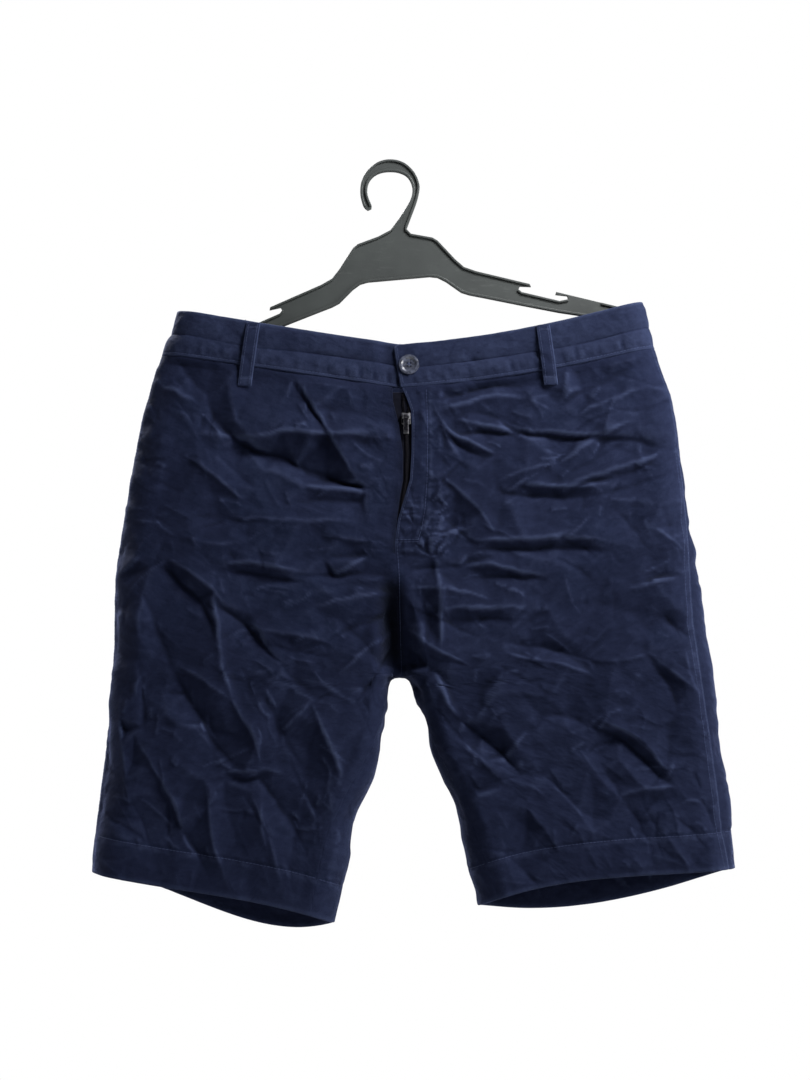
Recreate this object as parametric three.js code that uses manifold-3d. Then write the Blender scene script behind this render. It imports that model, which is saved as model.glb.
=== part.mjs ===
// Bermuda shorts of cotton twill, hanging by the waistband on a plastic hanger.
// Millimetres, +Z up, +X to the viewer's right as the front is seen, the front faces -Y.
// The origin is the inside top of the hanger's hook, where it rests on a rail or a pin.
// Right and left are the wearer's, so the right half lies at -X.

import * as THREE from 'three';
import { mergeVertices } from 'three/addons/utils/BufferGeometryUtils.js';
import Module from 'manifold-3d';

const wasm = await Module();
wasm.setup();

// Cloth and seams
const CLOTH = 1.3;
const BAND_CLOTH = 2.2;
const LOOP_CLOTH = 1.2;
const HEM_CLOTH = 2.4;
const HEM_DEPTH = 33;
const HEM_STEP = 0.02;
const SEAM_GAP = 0.3;

// The front view's outline at the side seams: level, then the x of each side
const OUTLINE = [
  { z: -122, right: -187, left: 228 },
  { z: -150, right: -194.2, left: 234.6 },
  { z: -168, right: -202, left: 239.5 },
  { z: -185, right: -207.9, left: 244.8 },
  { z: -207, right: -213.9, left: 252.6 },
  { z: -230, right: -220.2, left: 257.2 },
  { z: -262, right: -225.7, left: 260.2 },
  { z: -295, right: -230.7, left: 264.2 },
  { z: -326, right: -235.6, left: 268.8 },
  { z: -360, right: -240.3, left: 273 },
  { z: -392, right: -242, left: 277 },
  { z: -425, right: -241.5, left: 281.6 },
  { z: -475, right: -243, left: 286.9 },
  { z: -508, right: -246, left: 290.8 },
  { z: -550, right: -250.6, left: 295.2 },
  { z: -592, right: -255.2, left: 298.4 },
  { z: -612, right: -257.6, left: 301.6 },
  { z: -640, right: -258, left: 304.4 },
];

// Half depth of the hanging garment, and how far its rounded edges reach in from the outline
const DEPTH = [
  { z: -122, front: 14, back: 14, outer: 24 },
  { z: -170, front: 16, back: 16, outer: 25 },
  { z: -204, front: 17.5, back: 18, outer: 26 },
  { z: -265, front: 21.5, back: 24, outer: 28 },
  { z: -330, front: 25.5, back: 30, outer: 30 },
  { z: -400, front: 29, back: 35, outer: 30 },
  { z: -460, front: 30, back: 34, outer: 30 },
  { z: -540, front: 28.5, back: 30, outer: 28 },
  { z: -640, front: 29, back: 28.5, outer: 27 },
];

// Centre front edges of the two halves: the fly gapes between them above its end
const FLY_EDGE = [
  { z: -202, right: 3.4, left: 12.4 },
  { z: -215, right: 3.8, left: 17.8 },
  { z: -224, right: 6, left: 20.6 },
  { z: -236, right: 9, left: 21.2 },
  { z: -262, right: 12.6, left: 21 },
  { z: -286, right: 12.6, left: 19.6 },
  { z: -303, right: 9.6, left: 14.6 },
  { z: -322, right: 7.4, left: 9 },
  { z: -344, right: 5.9, left: 6.2 },
  { z: -374, right: 8, left: 8.3 },
  { z: -411, right: 9, left: 9.3 },
  { z: -459, right: 10.35, left: 10.65 },
];

// Crotch point, then the inner edge of each leg down to the hem
const CROTCH = { x: 10.5, z: -459 };
const CROTCH_RISE = 70;
const INSEAM = {
  right: [
    { x: 10.35, z: -459 },
    { x: 5, z: -459.5 },
    { x: 1.6, z: -462 },
    { x: -0.2, z: -467.5 },
    { x: -1.2, z: -481 },
    { x: -2.9, z: -499 },
    { x: -8, z: -523 },
    { x: -14, z: -545 },
    { x: -25, z: -576 },
    { x: -33.2, z: -601 },
    { x: -40.4, z: -638 },
    { x: -46.1, z: -672 },
  ],
  left: [
    { x: 10.65, z: -459 },
    { x: 15.5, z: -459.5 },
    { x: 19, z: -462 },
    { x: 21.6, z: -468 },
    { x: 25.4, z: -480 },
    { x: 30.6, z: -493 },
    { x: 37.4, z: -519 },
    { x: 46, z: -541 },
    { x: 55.4, z: -567 },
    { x: 63.8, z: -594 },
    { x: 71.2, z: -620 },
    { x: 79.2, z: -657 },
  ],
};

// Radius of the legs' inner fold, and how far each seam lies in from the outline on the front
const FOLDED_EDGE = [
  { z: -202, inner: 14, rightSide: 0, leftSide: 0.4, rightInseam: 0, leftInseam: 0 },
  { z: -290, inner: 14, rightSide: 0, leftSide: 2, rightInseam: 0, leftInseam: 0 },
  { z: -340, inner: 14, rightSide: 0, leftSide: 6, rightInseam: 0, leftInseam: 0 },
  { z: -412, inner: 14, rightSide: 0, leftSide: 13, rightInseam: 0, leftInseam: 0 },
  { z: -470, inner: 15, rightSide: 0, leftSide: 12, rightInseam: 0, leftInseam: 0 },
  { z: -520, inner: 18, rightSide: 0, leftSide: 11, rightInseam: 6, leftInseam: 4 },
  { z: -560, inner: 21, rightSide: 0, leftSide: 10, rightInseam: 15, leftInseam: 8 },
  { z: -600, inner: 24, rightSide: 0, leftSide: 9, rightInseam: 20, leftInseam: 12 },
  { z: -660, inner: 26, rightSide: 0, leftSide: 7, rightInseam: 21, leftInseam: 16 },
];

// Levels of the rows: -1 is the waistband's top, 0 the waist seam, 1 the crotch, 2 the hem
const ROW_LEVELS = [
  { row: -1, right: -131, left: -122.5, front: -163.5, back: -168 },
  { row: 0, right: -170.5, left: -164, front: -202, back: -207 },
  { row: 1, right: -438, left: -436, front: -459, back: -459 },
  { row: 2, right: -628.5, left: -625, front: -664, back: -664 },
];

// How far a row sags below the straight line between its ends, at mid panel
const ROW_SAG = [
  { row: -1, rightFront: -1, leftFront: -6, rightBack: -4, leftBack: -5 },
  { row: 0, rightFront: 0, leftFront: -5.5, rightBack: -4, leftBack: -5 },
  { row: 1, rightFront: 0, leftFront: 2, rightBack: -4, leftBack: -3 },
  { row: 1.8, rightFront: 0, leftFront: 5, rightBack: -8, leftBack: -9 },
  { row: 2, rightFront: 3, leftFront: 8, rightBack: -11, leftBack: -14 },
];

// How far each hem's sag is drawn to the inseam, 0 where it is even, from this row down
const HEM_SKEW = { rightFront: 1.6, leftFront: 0.8, rightBack: 1.6, leftBack: 0.2 };
const SKEW_FROM_ROW = 1.5;

// The largest folds: ends, half width, and depth below the cloth around, raised where negative
const FRONT_FOLDS = [
  { x0: -160, z0: -238, x1: 8, z1: -262, reach: 11, depth: 2.6 },
  { x0: -150, z0: -216, x1: -10, z1: -300, reach: 9, depth: 2 },
  { x0: -132, z0: -330, x1: -20, z1: -318, reach: 12, depth: -1.8 },
  { x0: -148, z0: -392, x1: -92, z1: -455, reach: 10, depth: 2.4 },
  { x0: -150, z0: -385, x1: -118, z1: -535, reach: 11, depth: -2.2 },
  { x0: -182, z0: -448, x1: -134, z1: -538, reach: 12, depth: 2.4 },
  { x0: -66, z0: -482, x1: -44, z1: -600, reach: 12, depth: -2.4 },
  { x0: -110, z0: -548, x1: -72, z1: -612, reach: 11, depth: 2 },
  { x0: 60, z0: -232, x1: 236, z1: -248, reach: 11, depth: 2.6 },
  { x0: 40, z0: -212, x1: 130, z1: -199, reach: 8, depth: 1.6 },
  { x0: 98, z0: -300, x1: 240, z1: -284, reach: 11, depth: 2.2 },
  { x0: 70, z0: -334, x1: 200, z1: -341, reach: 13, depth: -2 },
  { x0: 50, z0: -378, x1: 150, z1: -374, reach: 12, depth: 2 },
  { x0: 46, z0: -462, x1: 120, z1: -545, reach: 10, depth: 2.8 },
  { x0: 134, z0: -494, x1: 240, z1: -548, reach: 11, depth: 2.4 },
  { x0: 40, z0: -356, x1: 50, z1: -446, reach: 10, depth: -2 },
  { x0: 190, z0: -545, x1: 232, z1: -618, reach: 12, depth: 2 },
];
const BACK_FOLDS = [
  { x0: -190, z0: -262, x1: -30, z1: -246, reach: 12, depth: 2.2 },
  { x0: 40, z0: -252, x1: 226, z1: -270, reach: 12, depth: 2.4 },
  { x0: -168, z0: -350, x1: -24, z1: -418, reach: 14, depth: 3 },
  { x0: 44, z0: -420, x1: 210, z1: -352, reach: 14, depth: 3 },
  { x0: -150, z0: -470, x1: -96, z1: -590, reach: 13, depth: -2.4 },
  { x0: 110, z0: -480, x1: 190, z1: -570, reach: 13, depth: 2.6 },
  { x0: -60, z0: -500, x1: -72, z1: -600, reach: 12, depth: 2 },
  { x0: 210, z0: -470, x1: 250, z1: -560, reach: 12, depth: -2 },
];

// Waistband: the row of its foot; its ends: the left one's slanted edge, and how far and deep the right one runs under it
const BAND_FOOT_ROW = -0.007;
const LEFT_BAND_END = { top: 5.2, bottom: 11.8 };
const RIGHT_BAND_END = 38;
const UNDERLAP = { from: -14, to: 1, inset: 2.6 };

// Belt loops: top and bottom of each, and how far it reaches below the waist seam
const LOOP_TOP_ROW = -0.99;
const LOOP_WIDTH = 11.4;
const LOOP_PROUD = 2.4;
const LOOPS = [
  { name: 'belt_loop_front_right', side: 'right', back: false, top: -120.5, bottom: -127.8, below: 19 },
  { name: 'belt_loop_front_left', side: 'left', back: false, top: 138, bottom: 144.8, below: 15 },
  { name: 'belt_loop_back_right', side: 'right', back: true, top: -106, bottom: -111, below: 12 },
  { name: 'belt_loop_back_left', side: 'left', back: true, top: 136, bottom: 140, below: 12 },
  { name: 'belt_loop_back_centre', side: 'left', back: true, top: 16, bottom: 16, below: 12 },
];

// Fly: strips behind the gap, the zip's slider and the pull tab that swings on it
const ZIP_TAPE = { from: -5, to: 34, top: -207, bottom: -334, cloth: 1 };
const FLY_SHIELD = { from: -14, to: 42, top: -207, bottom: -344, cloth: 1.3 };
const SLIDER = { x: 15.8, z: -231, width: 7.4, height: 9.4, thick: 2.6, top: 4.6 };
const PULL = { width: 4.2, length: 17.6, thick: 1, pin: 0.6, eye: 1.6 };

const BUTTON = { x: 18.4, z: -181.8, radius: 8.9, rim: 3.2, well: 1.9, hole: 0.95, spread: 2 };

// Hanger: a flat plate with raised rims, its arms turned by the tilt it hangs at
const HANGER = { plate: 3, rimThick: 6, rim: 1.9, rimInset: 0.25, tilt: 5.2 };
const HOOK_OUTER = [
  { x: -18.8, z: -36.3 },
  { x: -22, z: -33.6 },
  { x: -24.2, z: -28.2 },
  { x: -25.7, z: -20 },
  { x: -24.8, z: -10 },
  { x: -20.4, z: -0.6 },
  { x: -12, z: 7.4 },
  { x: -4.5, z: 10.6 },
  { x: 2.4, z: 11.2 },
  { x: 9, z: 10.2 },
  { x: 16.2, z: 6.8 },
  { x: 23.4, z: -0.6 },
  { x: 27.4, z: -9.4 },
  { x: 28.1, z: -16.4 },
  { x: 25.6, z: -28 },
  { x: 20, z: -43.5 },
  { x: 16.4, z: -53.5 },
];
const HOOK_INNER = [
  { x: 1.6, z: -54.6 },
  { x: 10.4, z: -42.4 },
  { x: 17.6, z: -30.6 },
  { x: 20.8, z: -23.2 },
  { x: 21.6, z: -16 },
  { x: 19.6, z: -9 },
  { x: 15.2, z: -3.6 },
  { x: 8, z: -0.6 },
  { x: 0, z: 0 },
  { x: -7.4, z: -1.2 },
  { x: -13.6, z: -4.6 },
  { x: -18, z: -10.6 },
  { x: -19.3, z: -18.4 },
  { x: -17.8, z: -25.6 },
  { x: -15.4, z: -31.4 },
  { x: -15.6, z: -34.8 },
];

// One arm in the hanger's own frame: out from its centre and down from the hook
const ARM_TOP = [
  { out: 15, down: 59.5 },
  { out: 34, down: 64.8 },
  { out: 38.5, down: 68 },
  { out: 53, down: 87 },
  { out: 60, down: 94.5 },
  { out: 70, down: 99.2 },
  { out: 117.5, down: 115.5 },
  { out: 118.4, down: 118.2 },
  { out: 108.2, down: 116.8 },
  { out: 107, down: 119.4 },
  { out: 109.6, down: 122.2 },
  { out: 142.6, down: 133.4 },
  { out: 150.4, down: 132.6 },
  { out: 150, down: 129.6 },
  { out: 139.4, down: 127.4 },
  { out: 140.4, down: 124.8 },
  { out: 180, down: 138.4 },
  { out: 207, down: 147.6 },
  { out: 213.6, down: 151 },
  { out: 215.2, down: 155 },
];
const ARM_BOTTOM = [
  { out: 211.6, down: 160 },
  { out: 204, down: 159.6 },
  { out: 141, down: 144 },
  { out: 105.5, down: 133.6 },
  { out: 75, down: 124.4 },
  { out: 62, down: 120.6 },
  { out: 55, down: 117.6 },
  { out: 42, down: 106.4 },
  { out: 35, down: 102 },
  { out: 28, down: 100.6 },
];

// How finely the cloth is divided, and the share of a panel's columns in each rounded edge
const PANEL_COLUMNS = { front: 15, back: 14 };
const TORSO_ROWS = 11;
const FORK_ROWS = 5;
const LEG_ROWS = [0.03, 0.075, 0.15, 0.25, 0.36, 0.47, 0.58, 0.69];
const BAND_ROWS = 3;
const BAND_COLUMNS = 17;
const LOOP_STEPS = 9;
const EDGE_SHARE = 0.22;

// The row from which the centre seam starts to turn under towards the crotch
const FORK_ROW = 0.7;

const COLOURS = {
  twill: 0x1c2340,
  band: 0x232b4c,
  zip: 0x14182a,
  metal: 0x8c8f94,
  button: 0x2e3140,
  hanger: 0x35373a,
};

// A row between two named rows of a table, with each of its columns
function between(table, key, value) {
  const rows = table[0][key] < table.at(-1)[key] ? table : [...table].reverse();
  const clamped = Math.min(Math.max(value, rows[0][key]), rows.at(-1)[key]);
  const upper = Math.max(1, rows.findIndex((row) => row[key] >= clamped));
  const [a, b] = [rows[upper - 1], rows[upper]];
  const part = (clamped - a[key]) / (b[key] - a[key]);
  return Object.fromEntries(Object.keys(a).map((name) => [name, a[name] + (b[name] - a[name]) * part]));
}

const smooth = (value) => {
  const t = Math.min(Math.max(value, 0), 1);
  return t * t * (3 - 2 * t);
};

// Height of a quarter round over its own reach
const round = (share) => Math.sqrt(Math.max(0, 1 - (1 - Math.min(Math.max(share, 0), 1)) ** 2));

// A point along a path of points, at a share of its length
function pointOnPath(path, share) {
  const steps = path.slice(1).map((point, i) => Math.hypot(point.x - path[i].x, point.z - path[i].z));
  let rest = share * steps.reduce((sum, step) => sum + step, 0);
  let i = 0;
  while (i < steps.length - 1 && rest > steps[i]) {
    rest -= steps[i];
    i += 1;
  }
  const part = rest / steps[i];
  return {
    x: path[i].x + (path[i + 1].x - path[i].x) * part,
    z: path[i].z + (path[i + 1].z - path[i].z) * part,
  };
}

function distanceToSegment(x, z, a, b) {
  const [dx, dz] = [b.x - a.x, b.z - a.z];
  const part = Math.min(Math.max(((x - a.x) * dx + (z - a.z) * dz) / (dx * dx + dz * dz), 0), 1);
  return { distance: Math.hypot(x - a.x - part * dx, z - a.z - part * dz), part };
}

// How far the cloth has risen from the inner edges: full on the panels, none at the crotch and inseams
function innerRise(side, x, z) {
  const inner = between(FOLDED_EDGE, 'z', z).inner;
  const above = Math.max(z - CROTCH.z, 0);
  const level = above > 0 ? CROTCH.z + above * (inner / CROTCH_RISE) : z;
  const path = INSEAM[side];
  const clear = Math.min(...path.slice(1).map((point, i) => distanceToSegment(x, level, path[i], point).distance));
  const share = Math.min(clear / inner, 1);
  const hollow = 0.7 * smooth(above / 12);
  return round(share) + hollow * (share - round(share));
}

// Depth of the folds at a place, each fading out towards its ends
function foldDepth(folds, x, z) {
  return folds.reduce((sum, fold) => {
    const near = distanceToSegment(x, z, { x: fold.x0, z: fold.z0 }, { x: fold.x1, z: fold.z1 });
    const fade = 0.25 + 0.75 * Math.sin(Math.PI * near.part);
    return sum + fold.depth * fade * Math.exp(-((near.distance / fold.reach) ** 2));
  }, 0);
}

// Ends of one row of a half: its outer edge, and its inner edge on the front or the back
function rowEnds(side, back, row) {
  const levels = between(ROW_LEVELS, 'row', row);
  const outerZ = levels[side];
  const outerX = between(OUTLINE, 'z', outerZ)[side];
  if (row > 1) {
    const inner = pointOnPath(INSEAM[side], row - 1);
    return { outerX, outerZ, innerX: inner.x, innerZ: inner.z };
  }
  const start = between(ROW_LEVELS, 'row', 0)[back ? 'back' : 'front'];
  const straightEnd = CROTCH.z + CROTCH_RISE;
  let innerZ = levels[back ? 'back' : 'front'];
  if (row > 0 && row <= FORK_ROW) innerZ = start + (straightEnd - start) * (row / FORK_ROW);
  if (row > FORK_ROW) {
    const angle = ((1 - row) / (1 - FORK_ROW)) * (Math.PI / 2);
    innerZ = CROTCH.z + CROTCH_RISE * (1 - Math.cos(angle));
  }
  const seam = SEAM_GAP / 2;
  const centre = CROTCH.x + (side === 'right' ? -seam : seam);
  const innerX = back ? centre : between(FLY_EDGE, 'z', Math.min(innerZ, FLY_EDGE[0].z))[side];
  return { outerX, outerZ, innerX, innerZ };
}

// A point of the cloth's middle surface. Around 0 is the inner edge on the front, 1 the side
// edge and 2 the inner edge on the back; a leg goes on round past 0 and 2.
function clothPoint(side, around, row) {
  let turn = around;
  if (row > 1 && turn < 0) turn += 2;
  if (row > 1 && turn > 2) turn -= 2;
  const back = turn > 1;
  const across = back ? 2 - turn : turn;
  const ends = rowEnds(side, back, row);
  const sign = side === 'right' ? -1 : 1;
  const width = Math.abs(ends.outerX - ends.innerX);
  const inner = between(FOLDED_EDGE, 'z', ends.innerZ).inner;
  const outer = between(DEPTH, 'z', ends.outerZ).outer;
  let fromInner;
  if (across < EDGE_SHARE) {
    fromInner = inner * (1 - Math.cos((across / EDGE_SHARE) * (Math.PI / 2)));
  } else if (across > 1 - EDGE_SHARE) {
    fromInner = width - outer * (1 - Math.cos(((1 - across) / EDGE_SHARE) * (Math.PI / 2)));
  } else {
    fromInner = inner + (width - inner - outer) * ((across - EDGE_SHARE) / (1 - 2 * EDGE_SHARE));
  }
  return placeOnCloth(side, back, row, ends, fromInner / width, sign);
}

// The same surface, found by the share of the way from a row's inner edge to its outer edge
function placeOnCloth(side, back, row, ends, share, sign) {
  const x = ends.innerX + (ends.outerX - ends.innerX) * share;
  const panel = `${side}${back ? 'Back' : 'Front'}`;
  const skew = HEM_SKEW[panel] * smooth((row - SKEW_FROM_ROW) / (2 - SKEW_FROM_ROW));
  const sag = between(ROW_SAG, 'row', row)[panel] * (1 + skew * (1 - 2 * share));
  const z = ends.innerZ + (ends.outerZ - ends.innerZ) * share + sag * 4 * share * (1 - share);
  const depth = between(DEPTH, 'z', z);
  const outerRise = round((sign * (ends.outerX - x)) / depth.outer);
  const rise = outerRise * (row > 0 ? innerRise(side, x, z) : 1);
  const folds = row > 0 ? foldDepth(back ? BACK_FOLDS : FRONT_FOLDS, x, z) * rise * smooth(row / 0.06) : 0;
  const out = (back ? depth.back : depth.front) * rise - folds;
  return new THREE.Vector3(x, back ? out : -out, z);
}

// Where a given x of the front or back lies on a row, and the outward direction there
function spotAt(side, back, row, x) {
  const ends = rowEnds(side, back, row);
  const sign = side === 'right' ? -1 : 1;
  const at = (atX, atRow) => {
    const e = rowEnds(side, back, atRow);
    return placeOnCloth(side, back, atRow, e, (atX - e.innerX) / (e.outerX - e.innerX), sign);
  };
  const point = placeOnCloth(side, back, row, ends, (x - ends.innerX) / (ends.outerX - ends.innerX), sign);
  const acrossWay = at(x + 1, row).sub(at(x - 1, row));
  const downWay = at(x, row + 0.01).sub(at(x, row - 0.01));
  const normal = acrossWay.cross(downWay).normalize();
  if (normal.y > 0 !== back) normal.negate();
  return { point, normal };
}

// The row of a half at a given x and level, found by halving
function rowAt(side, back, x, z) {
  let [low, high] = [-1, 2];
  for (let i = 0; i < 40; i += 1) {
    const middle = (low + high) / 2;
    if (spotAt(side, back, middle, x).point.z > z) low = middle;
    else high = middle;
  }
  return (low + high) / 2;
}

// A closed wall from a grid of spots, each with its own wall thickness
function wall(grid) {
  const rows = grid.length;
  const columns = grid[0].length;
  const positions = [];
  for (const face of [1, -1]) {
    for (const line of grid) {
      for (const spot of line) {
        const shift = face > 0 ? spot.outside ?? spot.thick / 2 : -(spot.inside ?? spot.thick / 2);
        const point = spot.point.clone().addScaledVector(spot.normal, shift);
        positions.push(point.x, point.y, point.z);
      }
    }
  }
  const outer = (i, j) => i * columns + j;
  const inner = (i, j) => rows * columns + i * columns + j;
  const index = [];
  const quad = (a, b, c, d) => index.push(a, b, c, a, c, d);
  for (let i = 0; i < rows - 1; i += 1) {
    for (let j = 0; j < columns - 1; j += 1) {
      quad(outer(i, j), outer(i + 1, j), outer(i + 1, j + 1), outer(i, j + 1));
      quad(inner(i, j), inner(i, j + 1), inner(i + 1, j + 1), inner(i + 1, j));
    }
  }
  for (let i = 0; i < rows - 1; i += 1) {
    const last = columns - 1;
    quad(outer(i, 0), inner(i, 0), inner(i + 1, 0), outer(i + 1, 0));
    quad(outer(i, last), outer(i + 1, last), inner(i + 1, last), inner(i, last));
  }
  for (let j = 0; j < columns - 1; j += 1) {
    const last = rows - 1;
    quad(outer(0, j), outer(0, j + 1), inner(0, j + 1), inner(0, j));
    quad(outer(last, j), inner(last, j), inner(last, j + 1), outer(last, j + 1));
  }
  const geometry = new THREE.BufferGeometry();
  geometry.setAttribute('position', new THREE.Float32BufferAttribute(positions, 3));
  geometry.setIndex(index);
  return facingOut(geometry);
}

// Faces are turned over where the solid's volume comes out negative
function facingOut(geometry) {
  const place = geometry.getAttribute('position');
  const index = geometry.getIndex();
  const [a, b, c] = [new THREE.Vector3(), new THREE.Vector3(), new THREE.Vector3()];
  let volume = 0;
  for (let i = 0; i < index.count; i += 3) {
    a.fromBufferAttribute(place, index.getX(i));
    b.fromBufferAttribute(place, index.getX(i + 1));
    c.fromBufferAttribute(place, index.getX(i + 2));
    volume += a.dot(b.cross(c));
  }
  if (volume < 0) {
    const turned = [];
    for (let i = 0; i < index.count; i += 3) turned.push(index.getX(i), index.getX(i + 2), index.getX(i + 1));
    geometry.setIndex(turned);
  }
  return geometry;
}

const object = new THREE.Group();

function add(name, geometry, colour, roughness, metalness = 0) {
  const material = new THREE.MeshStandardMaterial({ color: colour, roughness, metalness });
  const mesh = new THREE.Mesh(geometry, material);
  mesh.name = name;
  object.add(mesh);
  return mesh;
}

// Panels

// Rows of a panel from the waist seam to the hem, closer together round the crotch and the hem's top
function panelRows(side) {
  const [waist, crotch, hem] = [0, 1, 2].map((row) => between(ROW_LEVELS, 'row', row)[side]);
  const rows = [SEAM_GAP / (waist - crotch)];
  for (let i = 1; i <= TORSO_ROWS; i += 1) rows.push((FORK_ROW * i) / TORSO_ROWS);
  for (let i = 1; i <= FORK_ROWS; i += 1) rows.push(FORK_ROW + ((1 - FORK_ROW) * i) / FORK_ROWS);
  const hemTop = 2 - HEM_DEPTH / (crotch - hem);
  rows.push(...LEG_ROWS.map((share) => 1 + share), hemTop - HEM_STEP, hemTop, (hemTop + 2) / 2, 2);
  return { rows, hemTop };
}

function clothNormal(side, around, row) {
  const step = 0.004;
  const lowRow = Math.max(row - step, 0);
  const highRow = Math.min(row + step, 2);
  const onCrotchSeam = row <= 1 && (around === 0 || around === 2);
  const lowAround = row <= 1 ? Math.max(around - step, 0) : around - step;
  const highAround = row <= 1 ? Math.min(around + step, 2) : around + step;
  const down = clothPoint(side, around, highRow).sub(clothPoint(side, around, lowRow));
  const across = clothPoint(side, highAround, row).sub(clothPoint(side, lowAround, row));
  if (onCrotchSeam) {
    if (row > 0.999) return new THREE.Vector3(0, 0, -1);
    across.set(side === 'right' ? -1 : 1, 0, 0);
    if (around === 2) across.negate();
    down.x = 0;
  }
  const normal = across.cross(down).normalize();
  return side === 'right' ? normal.negate() : normal;
}

function panel(side, back, columns) {
  const { rows, hemTop } = panelRows(side);
  const [sideColumn, innerColumn] = back ? [0, columns] : [columns, 0];
  return wall(rows.map((row) => {
    const ends = rowEnds(side, back, row);
    const edge = between(FOLDED_EDGE, 'z', ends.outerZ);
    const low = between(FOLDED_EDGE, 'z', ends.innerZ);
    const outer = between(DEPTH, 'z', ends.outerZ).outer;
    const sideTurn = 1 - EDGE_SHARE * (Math.acos(1 - edge[`${side}Side`] / outer) / (Math.PI / 2));
    const seamTurn = row > 1 ? EDGE_SHARE * (Math.acos(1 - low[`${side}Inseam`] / low.inner) / (Math.PI / 2)) : 0;
    const [from, to] = back ? [sideTurn, 2 + seamTurn] : [seamTurn, sideTurn];
    return Array.from({ length: columns + 1 }, (_, j) => {
      const around = from + ((to - from) * j) / columns;
      const point = clothPoint(side, around, row);
      const normal = clothNormal(side, around, row);
      if (j === sideColumn) shiftAlongCloth(point, side, around, row, back ? 1 : -1);
      if (j === innerColumn && row > 1) shiftAlongCloth(point, side, around, row, back ? -1 : 1);
      if (j === innerColumn && row === 1) point.y += back ? SEAM_GAP / 2 : -SEAM_GAP / 2;
      const hem = smooth((row - hemTop + HEM_STEP) / HEM_STEP);
      return { point, normal, outside: CLOTH / 2, inside: CLOTH / 2 + (HEM_CLOTH - CLOTH) * hem };
    });
  }));
}

// Half the seam's gap, along the cloth and away from the seam
function shiftAlongCloth(point, side, around, row, away) {
  const step = 0.01;
  const along = clothPoint(side, around + step, row).sub(clothPoint(side, around - step, row)).normalize();
  point.addScaledVector(along, (away * SEAM_GAP) / 2);
}

for (const side of ['right', 'left']) {
  add(`front_${side}`, panel(side, false, PANEL_COLUMNS.front), COLOURS.twill, 0.9);
  add(`back_${side}`, panel(side, true, PANEL_COLUMNS.back), COLOURS.twill, 0.9);
}

// Waistband: two halves from the centre back round to the fly, the left over the right

// A band spot at a distance along the row from the front end (0) round the side to the centre back (2)
function bandSpot(side, around, row) {
  const back = around > 1;
  const ends = rowEnds(side, back, row);
  const sign = side === 'right' ? -1 : 1;
  if (back) {
    ends.innerX = CROTCH.x + (sign * SEAM_GAP) / 2;
  } else if (side === 'left') {
    const up = -row;
    ends.innerX = LEFT_BAND_END.bottom + (LEFT_BAND_END.top - LEFT_BAND_END.bottom) * up;
  } else {
    ends.innerX = RIGHT_BAND_END;
  }
  const across = back ? 2 - around : around;
  const width = Math.abs(ends.outerX - ends.innerX);
  const outer = between(DEPTH, 'z', ends.outerZ).outer;
  const turned = 1 - across;
  const fromInner = turned < EDGE_SHARE
    ? width - outer * (1 - Math.cos((turned / EDGE_SHARE) * (Math.PI / 2)))
    : ((width - outer) * across) / (1 - EDGE_SHARE);
  const x = ends.innerX + (sign * fromInner);
  return bandPlace(side, back, row, x);
}

// A spot of the band at an x of a row, on the same surface as the panels below it
function bandPlace(side, back, row, x) {
  const ends = rowEnds(side, back, row);
  const sign = side === 'right' ? -1 : 1;
  ends.innerX = CROTCH.x;
  const share = (x - ends.innerX) / (ends.outerX - ends.innerX);
  const point = placeOnCloth(side, back, row, ends, share, sign);
  if (side === 'right' && !back) {
    point.y += UNDERLAP.inset * smooth((x - UNDERLAP.from) / (UNDERLAP.to - UNDERLAP.from));
  }
  return point;
}

function band(side) {
  const rows = Array.from({ length: BAND_ROWS + 1 }, (_, i) => -1 + (i / BAND_ROWS) * (1 + BAND_FOOT_ROW));
  const turns = [];
  for (let j = 0; j <= BAND_COLUMNS; j += 1) turns.push(j / BAND_COLUMNS);
  for (let j = 1; j <= BAND_COLUMNS; j += 1) turns.push(1 + j / BAND_COLUMNS);
  return wall(rows.map((row) => turns.map((around) => {
    const point = bandSpot(side, around, row);
    const low = bandSpot(side, Math.max(around - 0.01, 0), row);
    const high = bandSpot(side, Math.min(around + 0.01, 2), row);
    const above = bandSpot(side, around, row - 0.05);
    const below = bandSpot(side, around, row + 0.05);
    const normal = high.sub(low).cross(below.sub(above)).normalize();
    if (around === 2) normal.setX(0).normalize();
    if (side === 'right') normal.negate();
    return { point, normal, thick: BAND_CLOTH };
  })));
}

for (const side of ['right', 'left']) add(`waistband_${side}`, band(side), COLOURS.band, 0.9);

// A spot on the front or back surface at x and z, on the band above the waist seam and the panel below
function outerSpot(side, back, x, z) {
  const row = rowAt(side, back, x, z);
  const spot = spotAt(side, back, row, x);
  return { ...spot, row, half: row < 0 ? BAND_CLOTH / 2 : CLOTH / 2 };
}

// Belt loops: strips laid over the band, standing proud between their sewn ends

function loop({ side, back, top, bottom, below }) {
  const topZ = spotAt(side, back, LOOP_TOP_ROW, top).point.z;
  const bottomZ = spotAt(side, back, 0, bottom).point.z - below;
  const grid = [];
  for (let i = 0; i <= LOOP_STEPS; i += 1) {
    const down = i / LOOP_STEPS;
    const x = top + (bottom - top) * down;
    const z = topZ + (bottomZ - topZ) * down;
    const bulge = LOOP_PROUD * Math.sin(Math.PI * Math.min(down * 1.04, 1)) ** 0.8;
    const line = [-0.5, 0, 0.5].map((across) => {
      const spot = outerSpot(side, back, x + across * LOOP_WIDTH, z);
      const half = BAND_CLOTH / 2 + (CLOTH / 2 - BAND_CLOTH / 2) * smooth((spot.row + 0.005) / 0.03);
      const off = half + SEAM_GAP + 0.1 + LOOP_CLOTH / 2 + bulge;
      const point = spot.point.clone().addScaledVector(spot.normal, off);
      return { point, normal: spot.normal, thick: LOOP_CLOTH };
    });
    grid.push(line);
  }
  return wall(grid);
}

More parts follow.
